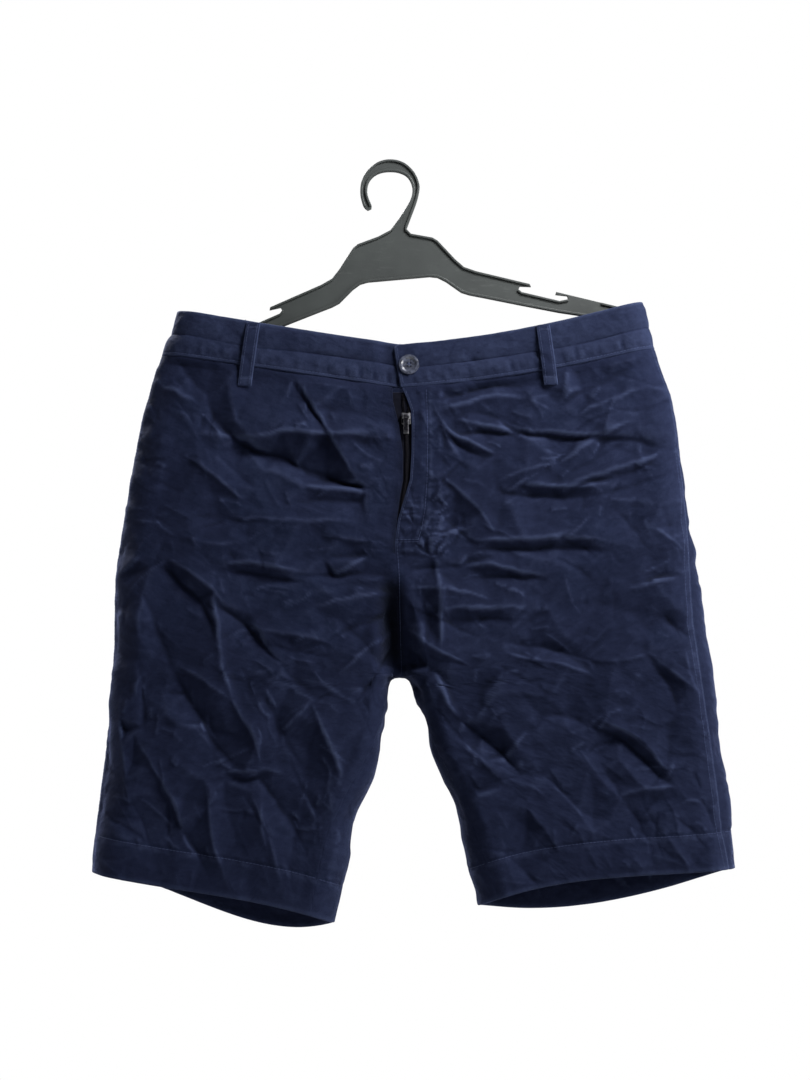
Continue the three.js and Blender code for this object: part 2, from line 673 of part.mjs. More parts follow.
for (const each of LOOPS) add(each.name, loop(each), COLOURS.twill, 0.9);

// Fly: the shield, and the zip's tape in front of it, both behind the front's gap

// A strip behind the front, level by level
function stripBehind({ from, to, top, bottom, cloth }, inset, rows, columns) {
  const grid = [];
  for (let i = 0; i <= rows; i += 1) {
    const z = top + ((bottom - top) * i) / rows;
    const line = [];
    for (let j = 0; j <= columns; j += 1) {
      const x = from + ((to - from) * j) / columns;
      const depth = between(DEPTH, 'z', z).front - foldDepth(FRONT_FOLDS, x, z);
      line.push({ point: new THREE.Vector3(x, -depth + inset, z), normal: new THREE.Vector3(0, -1, 0), thick: cloth });
    }
    grid.push(line);
  }
  return wall(grid);
}

const TAPE_INSET = CLOTH / 2 + SEAM_GAP + 0.2 + ZIP_TAPE.cloth / 2;
const SHIELD_INSET = TAPE_INSET + ZIP_TAPE.cloth / 2 + SEAM_GAP + FLY_SHIELD.cloth / 2;
add('zip_tape', stripBehind(ZIP_TAPE, TAPE_INSET, 10, 5), COLOURS.zip, 0.8);
add('fly_shield', stripBehind(FLY_SHIELD, SHIELD_INSET, 10, 6), COLOURS.twill, 0.9);

// Closed solids joined or cut, and their result as a geometry again
function solidOf(geometry) {
  const bare = geometry.clone();
  bare.deleteAttribute('normal');
  bare.deleteAttribute('uv');
  const merged = mergeVertices(bare);
  return new wasm.Manifold(new wasm.Mesh({
    numProp: 3,
    vertProperties: new Float32Array(merged.getAttribute('position').array),
    triVerts: new Uint32Array(merged.getIndex().array),
  }));
}

function geometryOf(solid) {
  const mesh = solid.getMesh();
  const geometry = new THREE.BufferGeometry();
  geometry.setAttribute('position', new THREE.Float32BufferAttribute(Array.from(mesh.vertProperties), 3));
  geometry.setIndex(Array.from(mesh.triVerts));
  return geometry;
}

const joined = (solids) => solids.reduce((whole, solid) => whole.add(solid));

function boxAt(width, depth, height, x, y, z) {
  return solidOf(new THREE.BoxGeometry(width, depth, height).translate(x, y, z));
}

// Slider: a flat body with two cheeks that carry the pin, and the tab hung on it

const tapeFace = between(DEPTH, 'z', SLIDER.z).front - foldDepth(FRONT_FOLDS, SLIDER.x, SLIDER.z)
  - TAPE_INSET + ZIP_TAPE.cloth / 2;
const sliderFront = tapeFace + SEAM_GAP + 0.2 + SLIDER.thick;
const pinY = -(sliderFront + PULL.eye + SEAM_GAP);
const pinZ = SLIDER.z + 2.4;
const pinSpan = PULL.width / 2 + SEAM_GAP;
const cheek = 0.8;

function slider() {
  const body = boxAt(SLIDER.width, SLIDER.thick, SLIDER.height, SLIDER.x, -(sliderFront - SLIDER.thick / 2), SLIDER.z);
  const reach = Math.abs(pinY) + PULL.pin + 0.4 - sliderFront + 0.5;
  const cheekY = -(sliderFront - 0.5 + reach / 2);
  const cheeks = [-1, 1].map((way) => boxAt(
    cheek, reach, SLIDER.top, SLIDER.x + way * (pinSpan + cheek / 2), cheekY, pinZ));
  const pin = new THREE.CylinderGeometry(PULL.pin, PULL.pin, 2 * (pinSpan + cheek / 2), 16);
  pin.rotateZ(Math.PI / 2).translate(SLIDER.x, pinY, pinZ);
  return geometryOf(joined([body, ...cheeks, solidOf(pin)]));
}
add('zip_slider', slider(), COLOURS.metal, 0.35, 1);

// The tab's profile from the side: an eye round the pin and a flat blade below it
function pull() {
  const blade = PULL.thick / 2;
  const start = Math.asin(blade / PULL.eye);
  const profile = new THREE.Shape();
  profile.moveTo(blade, -(PULL.length - PULL.eye));
  profile.lineTo(blade, -PULL.eye * Math.cos(start));
  profile.absarc(0, 0, PULL.eye, -Math.PI / 2 + start, 1.5 * Math.PI - start, false);
  profile.lineTo(-blade, -(PULL.length - PULL.eye));
  profile.closePath();
  const eye = new THREE.Path();
  eye.absarc(0, 0, PULL.pin + SEAM_GAP, 0, 2 * Math.PI, true);
  profile.holes.push(eye);
  const geometry = new THREE.ExtrudeGeometry(profile, {
    depth: PULL.width, bevelEnabled: false, curveSegments: 16,
  });
  geometry.translate(0, 0, -PULL.width / 2);
  geometry.rotateY(Math.PI / 2);
  geometry.rotateX(Math.PI / 2);
  return geometry;
}
const pullMesh = add('zip_pull', geometryOf(solidOf(pull())), COLOURS.metal, 0.3, 1);
pullMesh.position.set(SLIDER.x, pinY, pinZ);

// Button: a dished disc with a raised rim and four holes, on the left end of the band

function button() {
  const { radius, rim, well, hole, spread } = BUTTON;
  const profile = [
    [0, 0],
    [radius - 1.2, 0],
    [radius - 0.4, 0.3],
    [radius, 1],
    [radius, rim - 0.9],
    [radius - 0.5, rim - 0.2],
    [radius - 1.3, rim],
    [radius - 2.2, rim - 0.2],
    [radius - 3.3, well + 0.2],
    [radius - 4.4, well],
    [0, well],
  ].map(([x, y]) => new THREE.Vector2(x, y));
  let disc = solidOf(new THREE.LatheGeometry(profile, 32));
  for (const [x, z] of [[-1, -1], [-1, 1], [1, -1], [1, 1]]) {
    const drill = new THREE.CylinderGeometry(hole, hole, 4 * rim, 12);
    drill.translate((x * spread) / Math.SQRT2, 0, (z * spread) / Math.SQRT2);
    disc = disc.subtract(solidOf(drill));
  }
  return geometryOf(disc);
}
const buttonSpot = outerSpot('left', false, BUTTON.x, BUTTON.z);
const buttonMesh = add('button', button(), COLOURS.button, 0.3);
buttonMesh.position.copy(buttonSpot.point).addScaledVector(buttonSpot.normal, BAND_CLOTH / 2 + SEAM_GAP + 0.3);
buttonMesh.quaternion.setFromUnitVectors(new THREE.Vector3(0, 1, 0), buttonSpot.normal);

// Hanger: plate and raised rims of one outline, the arms mirrored about its middle

const tilted = (out, down) => {
  const angle = THREE.MathUtils.degToRad(HANGER.tilt);
  return { x: out * Math.cos(angle) + down * Math.sin(angle), z: out * Math.sin(angle) - down * Math.cos(angle) };
};
const mirrored = (points) => [...points].reverse().map(({ out, down }) => tilted(-out, down));
const armTop = ARM_TOP.map(({ out, down }) => tilted(out, down));
const armBottom = ARM_BOTTOM.map(({ out, down }) => tilted(out, down));
const leftTop = mirrored(ARM_TOP);
const leftBottom = mirrored(ARM_BOTTOM);

// A flat piece of the hanger from its outline in x and z
function slab(points, thick) {
  const shape = new THREE.Shape(points.map(({ x, z }) => new THREE.Vector2(x, z)));
  const geometry = new THREE.ExtrudeGeometry(shape, { depth: thick, bevelEnabled: false });
  geometry.translate(0, 0, -thick / 2);
  geometry.rotateX(Math.PI / 2);
  return solidOf(geometry);
}

// A raised rim along part of the outline, between two insets from it
function rimAlong(points) {
  const moved = (inset) => points.map((point, i) => {
    const before = points[Math.max(i - 1, 0)];
    const after = points[Math.min(i + 1, points.length - 1)];
    const way = new THREE.Vector2(after.x - before.x, after.z - before.z).normalize();
    return { x: point.x + way.y * inset, z: point.z - way.x * inset };
  });
  return slab([...moved(HANGER.rimInset), ...moved(HANGER.rimInset + HANGER.rim).reverse()], HANGER.rimThick);
}

function hanger() {
  const whole = [...HOOK_OUTER, ...armTop, ...armBottom, ...leftBottom, ...leftTop, ...HOOK_INNER];
  const hookRim = { from: 1, to: -1 };
  return geometryOf(joined([
    slab(whole, HANGER.plate),
    rimAlong([...HOOK_OUTER.slice(hookRim.from), ...armTop.slice(0, 7)]),
    rimAlong(HOOK_INNER.slice(0, hookRim.to)),
    rimAlong(armTop.slice(9, 13)),
    rimAlong([...armTop.slice(16), ...armBottom, ...leftBottom, ...leftTop.slice(0, 4)]),
    rimAlong(leftTop.slice(7, 11)),
    rimAlong([...leftTop.slice(13), HOOK_INNER[0]]),
  ]));
}
add('hanger', hanger(), COLOURS.hanger, 0.45);

export default object;
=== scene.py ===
import math

import bpy
import numpy as np
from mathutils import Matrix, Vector
from mathutils.geometry import delaunay_2d_cdt


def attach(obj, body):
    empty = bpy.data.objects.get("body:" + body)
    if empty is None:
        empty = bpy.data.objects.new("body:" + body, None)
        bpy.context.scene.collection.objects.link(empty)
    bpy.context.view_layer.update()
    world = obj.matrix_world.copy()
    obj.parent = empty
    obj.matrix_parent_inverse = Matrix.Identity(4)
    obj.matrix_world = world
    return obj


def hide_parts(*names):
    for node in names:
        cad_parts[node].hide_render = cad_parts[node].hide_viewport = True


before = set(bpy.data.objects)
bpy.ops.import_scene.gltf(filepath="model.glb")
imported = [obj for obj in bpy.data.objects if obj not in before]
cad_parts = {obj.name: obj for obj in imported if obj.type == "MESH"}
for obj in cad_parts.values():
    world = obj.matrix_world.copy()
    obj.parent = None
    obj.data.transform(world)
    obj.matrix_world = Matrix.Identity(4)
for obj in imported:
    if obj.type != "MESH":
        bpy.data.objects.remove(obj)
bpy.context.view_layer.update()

bpy.ops.object.select_all(action="DESELECT")

# Front and back panels
# Four panels of navy cotton twill, a front and a back to each leg, sewn at the sides, the inseams
# and the crotch. Each hem is turned up double and stitched round. Washed, and creased all over.

MM = 0.001
CLOTH_OUT = 0.65
CLOTH_IN = 0.3
HEM_IN = 1.5
HEM_DEPTH = 33
CROTCH_X, CROTCH_Z, CROTCH_RISE = 10.5, -459, 70
FORK_ROW = 0.7
EDGE_SHARE = 0.22
SEAM = 0.15

# Level, then the x of the side seams as the front is seen, right and left being the wearer's
OUTLINE = {
    "at": [-122, -150, -168, -185, -207, -230, -262, -295, -326, -360, -392, -425, -475, -508, -550, -592, -612, -640],
    "right": [-187, -194.2, -202, -207.9, -213.9, -220.2, -225.7, -230.7, -235.6, -240.3, -242, -241.5, -243, -246,
              -250.6, -255.2, -257.6, -258],
    "left": [228, 234.6, 239.5, 244.8, 252.6, 257.2, 260.2, 264.2, 268.8, 273, 277, 281.6, 286.9, 290.8, 295.2, 298.4,
             301.6, 304.4],
}
DEPTH = {
    "at": [-122, -170, -204, -265, -330, -400, -460, -540, -640],
    "front": [14, 16, 17.5, 21.5, 25.5, 29, 30, 28.5, 29],
    "back": [14, 16, 18, 24, 30, 35, 34, 30, 28.5],
    "outer": [24, 25, 26, 28, 30, 30, 30, 28, 27],
}
FLY_EDGE = {
    "at": [-202, -215, -224, -236, -262, -286, -303, -322, -344, -374, -411, -459],
    "right": [3.4, 3.8, 6, 9, 12.6, 12.6, 9.6, 7.4, 5.9, 8, 9, 10.35],
    "left": [12.4, 17.8, 20.6, 21.2, 21, 19.6, 14.6, 9, 6.2, 8.3, 9.3, 10.65],
}
FOLDED_EDGE = {
    "at": [-202, -290, -340, -412, -470, -520, -560, -600, -660],
    "inner": [14, 14, 14, 14, 15, 18, 21, 24, 26],
    "right_side": [0, 0, 0, 0, 0, 0, 0, 0, 0],
    "left_side": [0.4, 2, 6, 13, 12, 11, 10, 9, 7],
    "right_inseam": [0, 0, 0, 0, 0, 6, 15, 20, 21],
    "left_inseam": [0, 0, 0, 0, 0, 4, 8, 12, 16],
}
LEVELS = {
    "at": [-1, 0, 1, 2],
    "right": [-131, -170.5, -438, -628.5],
    "left": [-122.5, -164, -436, -625],
    "front": [-163.5, -202, -459, -664],
    "back": [-168, -207, -459, -664],
}
SAG = {
    "at": [-1, 0, 1, 1.8, 2],
    "right_front": [-1, 0, 0, 0, 3],
    "left_front": [-6, -5.5, 2, 5, 8],
    "right_back": [-4, -4, -4, -8, -11],
    "left_back": [-5, -5, -3, -9, -14],
}
FORK_DIP = 11
HEM_SKEW = {"right_front": 1.6, "left_front": 0.8, "right_back": 1.6, "left_back": 0.2}
SKEW_FROM_ROW = 1.5
FLY_CURVE = [(33.8, -204), (34.6, -225), (35.1, -253), (34.4, -285), (32.6, -312), (29.6, -330), (26.3, -341)]
INSEAM = {
    "right": [(10.35, -459), (5, -459.5), (1.6, -462), (-0.2, -467.5), (-1.2, -481), (-2.9, -499), (-8, -523),
              (-14, -545), (-25, -576), (-33.2, -601), (-40.4, -638), (-46.1, -672)],
    "left": [(10.65, -459), (15.5, -459.5), (19, -462), (21.6, -468), (25.4, -480), (30.6, -493), (37.4, -519),
             (46, -541), (55.4, -567), (63.8, -594), (71.2, -620), (79.2, -657)],
}


def read(table, at, column):
    order = np.argsort(table["at"])
    return np.interp(at, np.array(table["at"], float)[order], np.array(table[column], float)[order])


def smooth(value):
    t = np.clip(value, 0, 1)
    return t * t * (3 - 2 * t)


def rounded(share):
    return np.sqrt(np.maximum(0, 1 - (1 - np.clip(share, 0, 1)) ** 2))


def along(path, share):
    path = np.array(path, float)
    run = np.concatenate([[0], np.cumsum(np.hypot(*np.diff(path, axis=0).T))])
    return np.interp(share * run[-1], run, path[:, 0]), np.interp(share * run[-1], run, path[:, 1])


def inner_rise(side, x, z):
    inner = read(FOLDED_EDGE, z, "inner")
    above = np.maximum(z - CROTCH_Z, 0)
    level = np.where(above > 0, CROTCH_Z + above * inner / CROTCH_RISE, z)
    path = INSEAM[side]
    clear = np.full(np.shape(x), 1e9)
    for (ax, az), (bx, bz) in zip(path, path[1:]):
        dx, dz = bx - ax, bz - az
        part = np.clip(((x - ax) * dx + (level - az) * dz) / (dx * dx + dz * dz), 0, 1)
        clear = np.minimum(clear, np.hypot(x - ax - part * dx, level - az - part * dz))
    share = np.minimum(clear / inner, 1)
    hollow = 0.7 * smooth(above / 12)
    return rounded(share) + hollow * (share - rounded(share))


def row_ends(side, back, row):
    outer_z = read(LEVELS, row, side)
    start = np.where(back, read(LEVELS, 0, "back"), read(LEVELS, 0, "front"))
    straight = CROTCH_Z + CROTCH_RISE
    band_z = np.where(back, read(LEVELS, row, "back"), read(LEVELS, row, "front"))
    torso_z = start + (straight - start) * row / FORK_ROW
    fork_z = CROTCH_Z + CROTCH_RISE * (1 - np.cos((1 - row) / (1 - FORK_ROW) * math.pi / 2))
    body_z = np.where(row <= 0, band_z, np.where(row <= FORK_ROW, torso_z, fork_z))
    centre = CROTCH_X + (-SEAM if side == "right" else SEAM)
    fly = read(FLY_EDGE, np.minimum(body_z, FLY_EDGE["at"][0]), side)
    leg_x, leg_z = along(INSEAM[side], np.clip(row - 1, 0, 1))
    inner_x = np.where(row > 1, leg_x, np.where(back, centre, fly))
    return read(OUTLINE, outer_z, side), outer_z, inner_x, np.where(row > 1, leg_z, body_z)


def place(side, back, row, ends, share):
    outer_x, outer_z, inner_x, inner_z = ends
    sign = -1 if side == "right" else 1
    x = inner_x + (outer_x - inner_x) * share
    skew = smooth((row - SKEW_FROM_ROW) / (2 - SKEW_FROM_ROW)) * (1 - 2 * share)
    bend = lambda key: read(SAG, row, key) * (1 + HEM_SKEW[key] * skew)
    sag = np.where(back, bend(side + "_back"), bend(side + "_front"))
    z = inner_z + (outer_z - inner_z) * share + sag * 4 * share * (1 - share)
    rise = rounded(sign * (outer_x - x) / read(DEPTH, z, "outer"))
    rise = rise * np.where(row > 0, inner_rise(side, x, z), 1)
    out = rise * np.where(back, read(DEPTH, z, "back"), read(DEPTH, z, "front"))
    return np.stack([x, np.where(back, out, -out), z], -1)


def cloth_point(side, around, row):
    turn = np.where((row > 1) & (around < 0), around + 2, around)
    turn = np.where((row > 1) & (turn > 2), turn - 2, turn)
    back = turn > 1
    across = np.where(back, 2 - turn, turn)
    ends = row_ends(side, back, row)
    width = np.abs(ends[0] - ends[2])
    inner = read(FOLDED_EDGE, ends[3], "inner")
    outer = read(DEPTH, ends[1], "outer")
    quarter = math.pi / 2
    near = inner * (1 - np.cos(across / EDGE_SHARE * quarter))
    far = width - outer * (1 - np.cos((1 - across) / EDGE_SHARE * quarter))
    middle = inner + (width - inner - outer) * (across - EDGE_SHARE) / (1 - 2 * EDGE_SHARE)
    from_inner = np.where(across < EDGE_SHARE, near, np.where(across > 1 - EDGE_SHARE, far, middle))
    return place(side, back, row, ends, from_inner / width)


def unit(vectors):
    return vectors / np.maximum(np.linalg.norm(vectors, axis=-1, keepdims=True), 1e-9)


def cloth_normal(side, around, row):
    step = 0.006
    on_seam = (row <= 1) & ((around == 0) | (around == 2))
    low = np.where(row <= 1, np.maximum(around - step, 0), around - step)
    high = np.where(row <= 1, np.minimum(around + step, 2), around + step)
    down = cloth_point(side, around, np.minimum(row + step, 2)) - cloth_point(side, around, np.maximum(row - step, 0))
    across = cloth_point(side, high, row) - cloth_point(side, low, row)
    out = -1.0 if side == "right" else 1.0
    sideways = np.zeros(across.shape)
    sideways[..., 0] = np.where(around == 2, -out, out)
    across = np.where(on_seam[..., None], sideways, across)
    down[..., 0] = np.where(on_seam, 0, down[..., 0])
    return unit(np.cross(down, across)) * out


# Smooth unevenness: heights at the knots of a net, eased between them
def drift(across, down, seed):
    heights = np.random.default_rng(seed).uniform(-1, 1, (64, 64))
    i, j = np.floor(across).astype(int), np.floor(down).astype(int)
    u, v = smooth(across - i), smooth(down - j)
    at = lambda a, b: heights[(i + a) % 64, (j + b) % 64]
    return (at(0, 0) * (1 - u) + at(1, 0) * u) * (1 - v) + (at(0, 1) * (1 - u) + at(1, 1) * u) * v


# Crumpled cloth: flat facets that meet in sharp folds between the knots of a net
def crumple(across, down, seed):
    dice = np.random.default_rng(seed)
    heights = dice.normal(size=(64, 64))
    turned = dice.random((64, 64)) < 0.5
    i, j = np.floor(across).astype(int), np.floor(down).astype(int)
    u, v = across - i, down - j
    a, b = heights[i % 64, j % 64], heights[(i + 1) % 64, j % 64]
    d, c = heights[i % 64, (j + 1) % 64], heights[(i + 1) % 64, (j + 1) % 64]
    one = np.where(u > v, a + (b - a) * u + (c - b) * v, a + (c - d) * u + (d - a) * v)
    other = np.where(u + v < 1, a + (b - a) * u + (d - a) * v, c + (d - c) * (1 - u) + (b - c) * (1 - v))
    return np.where(turned[i % 64, j % 64], other, one)


# Main creases: x and z of both ends, height at the middle (a trough below 0), how far each falls off on
# its left and on its right as one goes from the first end to the second, and its bow to the left
FRONT_CREASES = [
    (-148, -247, 14, -250, 3.4, 26, 8, 3), (-152, -240, -2, -304, -4.6, 9, 26, -2),
    (-88, -195, -52, -248, -1.5, 5, 5, 2), (-80, -196, -26, -290, 1.5, 5, 6, 1),
    (-194, -172, -158, -210, -1.8, 12, 7, -2), (-160, -208, -138, -249, -1.9, 7, 12, -4),
    (-205, -200, -168, -216, 1.2, 10, 12, 2), (-213, -284, -183, -298, -1.1, 6, 9, 2),
    (-186, -263, -126, -305, 1.3, 9, 6, 4), (-150, -262, -118, -292, -1.0, 6, 8, 0),
    (-90, -308, 3, -308, -1.6, 8, 12, 3), (-74, -292, 2, -294, 1.2, 10, 6, -2),
    (-130, -323, -26, -325, 1.6, 13, 9, 2), (-176, -320, -120, -325, -1.4, 7, 10, 3),
    (-188, -336, -123, -343, 1.3, 10, 7, -3), (-226, -318, -188, -330, -1.2, 9, 8, 2),
    (-145, -359, -72, -369, 1.7, 9, 6, 3), (-150, -366, -80, -377, -1.6, 6, 12, 2),
    (-234, -379, -207, -361, -1.6, 8, 10, 2), (-236, -372, -214, -352, 1.0, 8, 6, 0),
    (-200, -360, -154, -411, -3.0, 9, 13, 4), (-190, -355, -140, -398, 1.2, 12, 7, 3),
    (-57, -357, 4, -357, -1.4, 8, 9, 2), (-46, -372, -17, -354, 1.1, 6, 8, 0), (-60, -384, -8, -380, -1.2, 9, 9, 2),
    (-216, -386, -187, -456, -1.7, 11, 9, 4), (-186, -455, -131, -540, -2.6, 12, 16, -4),
    (-152, -383, -136, -482, 2.0, 12, 9, -3), (-138, -478, -109, -538, 2.2, 14, 9, 2),
    (-150, -397, -92, -452, -2.6, 8, 16, 3), (-94, -450, -66, -475, -1.8, 7, 11, -2),
    (-182, -450, -136, -483, 1.4, 9, 12, 2), (-163, -503, -131, -512, -1.2, 6, 8, 1),
    (-113, -420, -48, -433, 1.4, 10, 8, 3), (-108, -432, -52, -446, -1.3, 7, 9, 2),
    (-66, -479, -94, -508, 1.5, 6, 8, 2), (-68, -481, -41, -549, 2.2, 11, 8, 3),
    (-84, -527, -58, -580, -1.6, 9, 8, -3), (-142, -545, -102, -543, 1.5, 6, 5, 2),
    (-140, -552, -106, -549, -1.3, 6, 6, 1), (-111, -549, -69, -616, -2.0, 10, 11, 3),
    (-158, -549, -135, -649, 1.4, 12, 8, -3), (-220, -513, -168, -609, 1.4, 12, 8, 4),
    (-224, -563, -207, -602, -1.3, 8, 8, 2), (-216, -445, -212, -506, -1.4, 9, 8, 2),
    (-232, -470, -226, -548, 1.0, 9, 8, -2), (-196, -560, -150, -640, -1.4, 10, 12, 3),
    (-108, -480, -92, -520, -1.3, 7, 9, 2), (-40, -410, -6, -452, -1.3, 8, 9, 2), (-30, -470, -12, -530, -1.2, 8, 8, 2),
    (-120, -560, -92, -640, 1.2, 9, 8, 3), (-60, -600, -52, -654, -1.2, 8, 8, 2),
    (30, -215, 131, -197, -2.2, 6, 10, 2), (34, -224, 120, -209, 1.4, 8, 10, 2),
    (70, -223, 131, -239, -1.5, 10, 7, 1), (60, -229, 128, -247, 1.4, 7, 6, 0),
    (129, -239, 198, -246, 1.4, 9, 6, -2), (61, -243, 248, -255, -2.1, 7, 10, 4),
    (46, -231, 94, -264, 1.7, 5, 5, -2), (44, -240, 84, -266, -1.2, 5, 5, -2),
    (92, -290, 152, -270, 1.4, 7, 9, 3), (152, -271, 219, -234, 1.6, 12, 8, 3), (160, -280, 226, -246, -1.4, 8, 9, 3),
    (103, -298, 139, -277, 1.4, 5, 6, 1), (150, -291, 243, -257, 1.3, 9, 7, -3), (158, -296, 246, -268, -1.3, 7, 9, 2),
    (99, -299, 188, -300, -2.6, 9, 14, -3), (186, -300, 248, -281, -1.8, 8, 12, 2), (110, -291, 190, -291, 1.5, 9, 5, -2),
    (47, -284, 93, -335, 1.4, 8, 7, 4), (44, -312, 73, -344, -2.6, 9, 8, -3), (70, -340, 198, -341, 2.0, 16, 9, 3),
    (74, -349, 190, -350, -1.8, 6, 13, 2), (179, -318, 154, -339, 1.3, 6, 7, 1), (154, -338, 182, -356, -1.8, 7, 8, 1),
    (202, -314, 227, -346, -1.5, 8, 8, 2), (63, -361, 141, -374, 1.3, 9, 7, 2), (218, -379, 260, -369, -1.9, 7, 9, 2),
    (152, -218, 221, -184, -1.5, 8, 9, 2), (168, -228, 232, -200, 1.3, 9, 8, 2), (54, -377, 142, -375, -1.5, 7, 8, 3),
    (45, -404, 124, -400, 1.4, 9, 8, 3), (52, -412, 112, -410, -1.4, 7, 9, 2), (106, -421, 143, -401, -1.4, 7, 8, 2),
    (196, -383, 197, -413, -1.2, 7, 7, 1), (206, -384, 258, -369, 1.2, 8, 7, 2), (100, -429, 179, -446, -1.8, 8, 10, 3),
    (104, -440, 182, -458, 1.4, 8, 9, 2), (178, -446, 229, -441, 1.4, 7, 9, -2), (228, -441, 251, -492, -1.7, 9, 9, 3),
    (134, -493, 178, -502, -2.0, 8, 12, 2), (177, -500, 241, -551, -2.5, 9, 15, 3), (180, -494, 240, -538, 1.5, 12, 6, 3),
    (177, -501, 206, -486, 1.3, 6, 8, 1), (43, -459, 64, -499, 2.0, 8, 7, -2), (63, -498, 116, -545, -2.8, 9, 15, 3),
    (58, -512, 104, -556, 1.7, 12, 8, 2), (101, -532, 124, -504, 1.6, 7, 8, 1), (134, -546, 163, -574, -1.5, 8, 8, 2),
    (190, -543, 199, -565, -1.4, 6, 7, 1), (198, -563, 248, -554, 1.4, 7, 9, 2), (202, -566, 233, -624, -1.8, 9, 10, 3),
    (267, -563, 285, -594, -1.3, 7, 8, 1), (98, -609, 130, -643, -1.5, 8, 8, 2), (39, -352, 47, -438, 2.6, 9, 11, 3),
    (30, -380, 34, -440, -2.0, 8, 8, 2), (17, -181, 34, -203, -1.2, 5, 6, 1), (152, -580, 184, -632, 1.2, 9, 9, 3),
    (240, -596, 262, -628, 1.2, 8, 8, 2), (120, -575, 150, -612, 1.3, 9, 8, 2), (232, -405, 262, -425, -1.2, 8, 8, 1),
    (246, -455, 274, -478, 1.2, 8, 8, 1), (236, -330, 262, -352, 1.1, 8, 8, 1),
    (4, -344, -62, -334, 1.3, 5, 7, 2), (4, -366, -74, -372, -2.0, 5, 8, 2), (5, -384, -66, -402, 1.4, 6, 5, -2),
    (5, -398, -56, -430, -2.0, 5, 8, 3), (6, -412, -44, -458, 1.4, 6, 5, 2), (7, -428, -30, -484, -1.8, 6, 6, 2),
    (14, -352, 72, -330, 1.3, 5, 7, 2), (14, -366, 92, -356, -1.9, 6, 5, -2), (14, -382, 90, -392, 1.4, 5, 6, 2),
    (14, -398, 84, -428, -1.9, 6, 5, 2), (14, -414, 72, -454, 1.4, 5, 6, -2), (14, -430, 56, -478, -1.8, 6, 5, 2),
    (20, -345, 62, -300, 1.2, 5, 6, 2), (24, -336, 66, -268, -1.6, 5, 5, 2), (38, -215, 60, -262, 1.1, 5, 5, 1),
]
BACK_CREASES = [
    (-196, -196, -118, -214, -1.6, 8, 10, 3), (-190, -262, -30, -246, -2.6, 10, 18, 4), (-180, -252, -46, -236, 1.5, 14, 8, 3),
    (-200, -300, -96, -282, -1.8, 9, 12, -3), (-150, -322, -12, -306, 1.7, 12, 9, 4), (-214, -340, -150, -330, 1.3, 9, 8, 2),
    (-170, -348, -22, -420, -3.2, 12, 20, 6), (-186, -372, -60, -432, 1.8, 14, 8, 5), (-120, -402, -34, -446, -1.6, 8, 10, 3),
    (-224, -380, -168, -412, -1.6, 9, 10, 3), (-70, -430, -18, -452, 1.4, 8, 7, 2), (-150, -470, -94, -592, 2.2, 14, 9, 5),
    (-170, -486, -120, -560, -1.8, 9, 13, 3), (-210, -470, -190, -566, -1.6, 10, 10, 3), (-222, -540, -196, -616, 1.4, 10, 9, 3),
    (-60, -500, -74, -604, -2.0, 10, 12, 3), (-40, -520, -56, -582, 1.4, 9, 8, 2), (-128, -580, -90, -650, -1.5, 9, 10, 3),
    (-104, -466, -62, -486, -1.3, 8, 8, 2), (-186, -586, -150, -640, 1.3, 9, 9, 2), (-60, -214, -6, -226, -1.3, 8, 9, 2),
    (-134, -218, -70, -222, 1.2, 9, 8, 2), (-226, -430, -196, -452, -1.3, 8, 8, 2), (-118, -524, -76, -532, 1.2, 7, 7, 2),
    (40, -252, 228, -270, -2.6, 10, 18, -4), (56, -240, 210, -258, 1.5, 12, 8, -3), (46, -218, 128, -206, -1.5, 8, 9, 2),
    (132, -222, 236, -198, -1.6, 9, 10, 3), (90, -296, 238, -312, 1.6, 12, 9, 3), (30, -306, 140, -322, -1.7, 9, 12, 3),
    (44, -422, 212, -350, -3.2, 20, 12, -6), (60, -436, 196, -376, 1.8, 8, 14, -4), (210, -336, 262, -352, -1.5, 9, 9, 2),
    (228, -390, 270, -410, 1.4, 9, 9, 2), (36, -446, 96, -458, 1.3, 8, 8, 2), (110, -480, 192, -572, -2.4, 10, 16, 5),
    (96, -496, 160, -566, 1.6, 12, 8, 3), (210, -470, 252, -562, 1.9, 12, 9, 3), (228, -462, 268, -540, -1.6, 8, 10, 3),
    (60, -520, 84, -590, -1.8, 9, 10, 3), (134, -590, 176, -642, 1.4, 10, 9, 3), (206, -580, 240, -634, -1.5, 9, 10, 3),
    (100, -600, 118, -648, -1.3, 8, 8, 2), (150, -448, 214, -440, -1.4, 8, 9, 2), (256, -574, 282, -622, 1.2, 8, 8, 2),
    (176, -410, 226, -420, 1.2, 8, 8, 2), (20, -352, 70, -372, -1.4, 8, 9, 2), (-48, -360, 2, -340, 1.2, 8, 8, 2),
]


# Small sharp creases between the main ones, each turned much as the main crease nearest to it
def small_creases(creases, seed):
    dice = np.random.default_rng(seed)
    middles = np.array([((c[0] + c[2]) / 2, (c[1] + c[3]) / 2) for c in creases])
    small = []
    for _ in range(SMALL_CREASES):
        x, z = dice.uniform(-258, 304), dice.uniform(-652, -196)
        near = creases[int(np.argmin(np.hypot(middles[:, 0] - x, middles[:, 1] - z)))]
        slant = math.atan2(near[3] - near[1], near[2] - near[0]) + dice.normal(0, 0.5)
        half = dice.uniform(5, 13) + 16 * dice.random() ** 4
        lift = dice.uniform(0.35, 1.1) * dice.choice([-1, 1, 1])
        reach = [dice.uniform(2.5, 5), dice.uniform(7, 15)]
        dice.shuffle(reach)
        dx, dz = half * math.cos(slant), half * math.sin(slant)
        small.append((x - dx, z - dz, x + dx, z + dz, lift, *reach, dice.normal(0, 0.14 * half)))
    return small


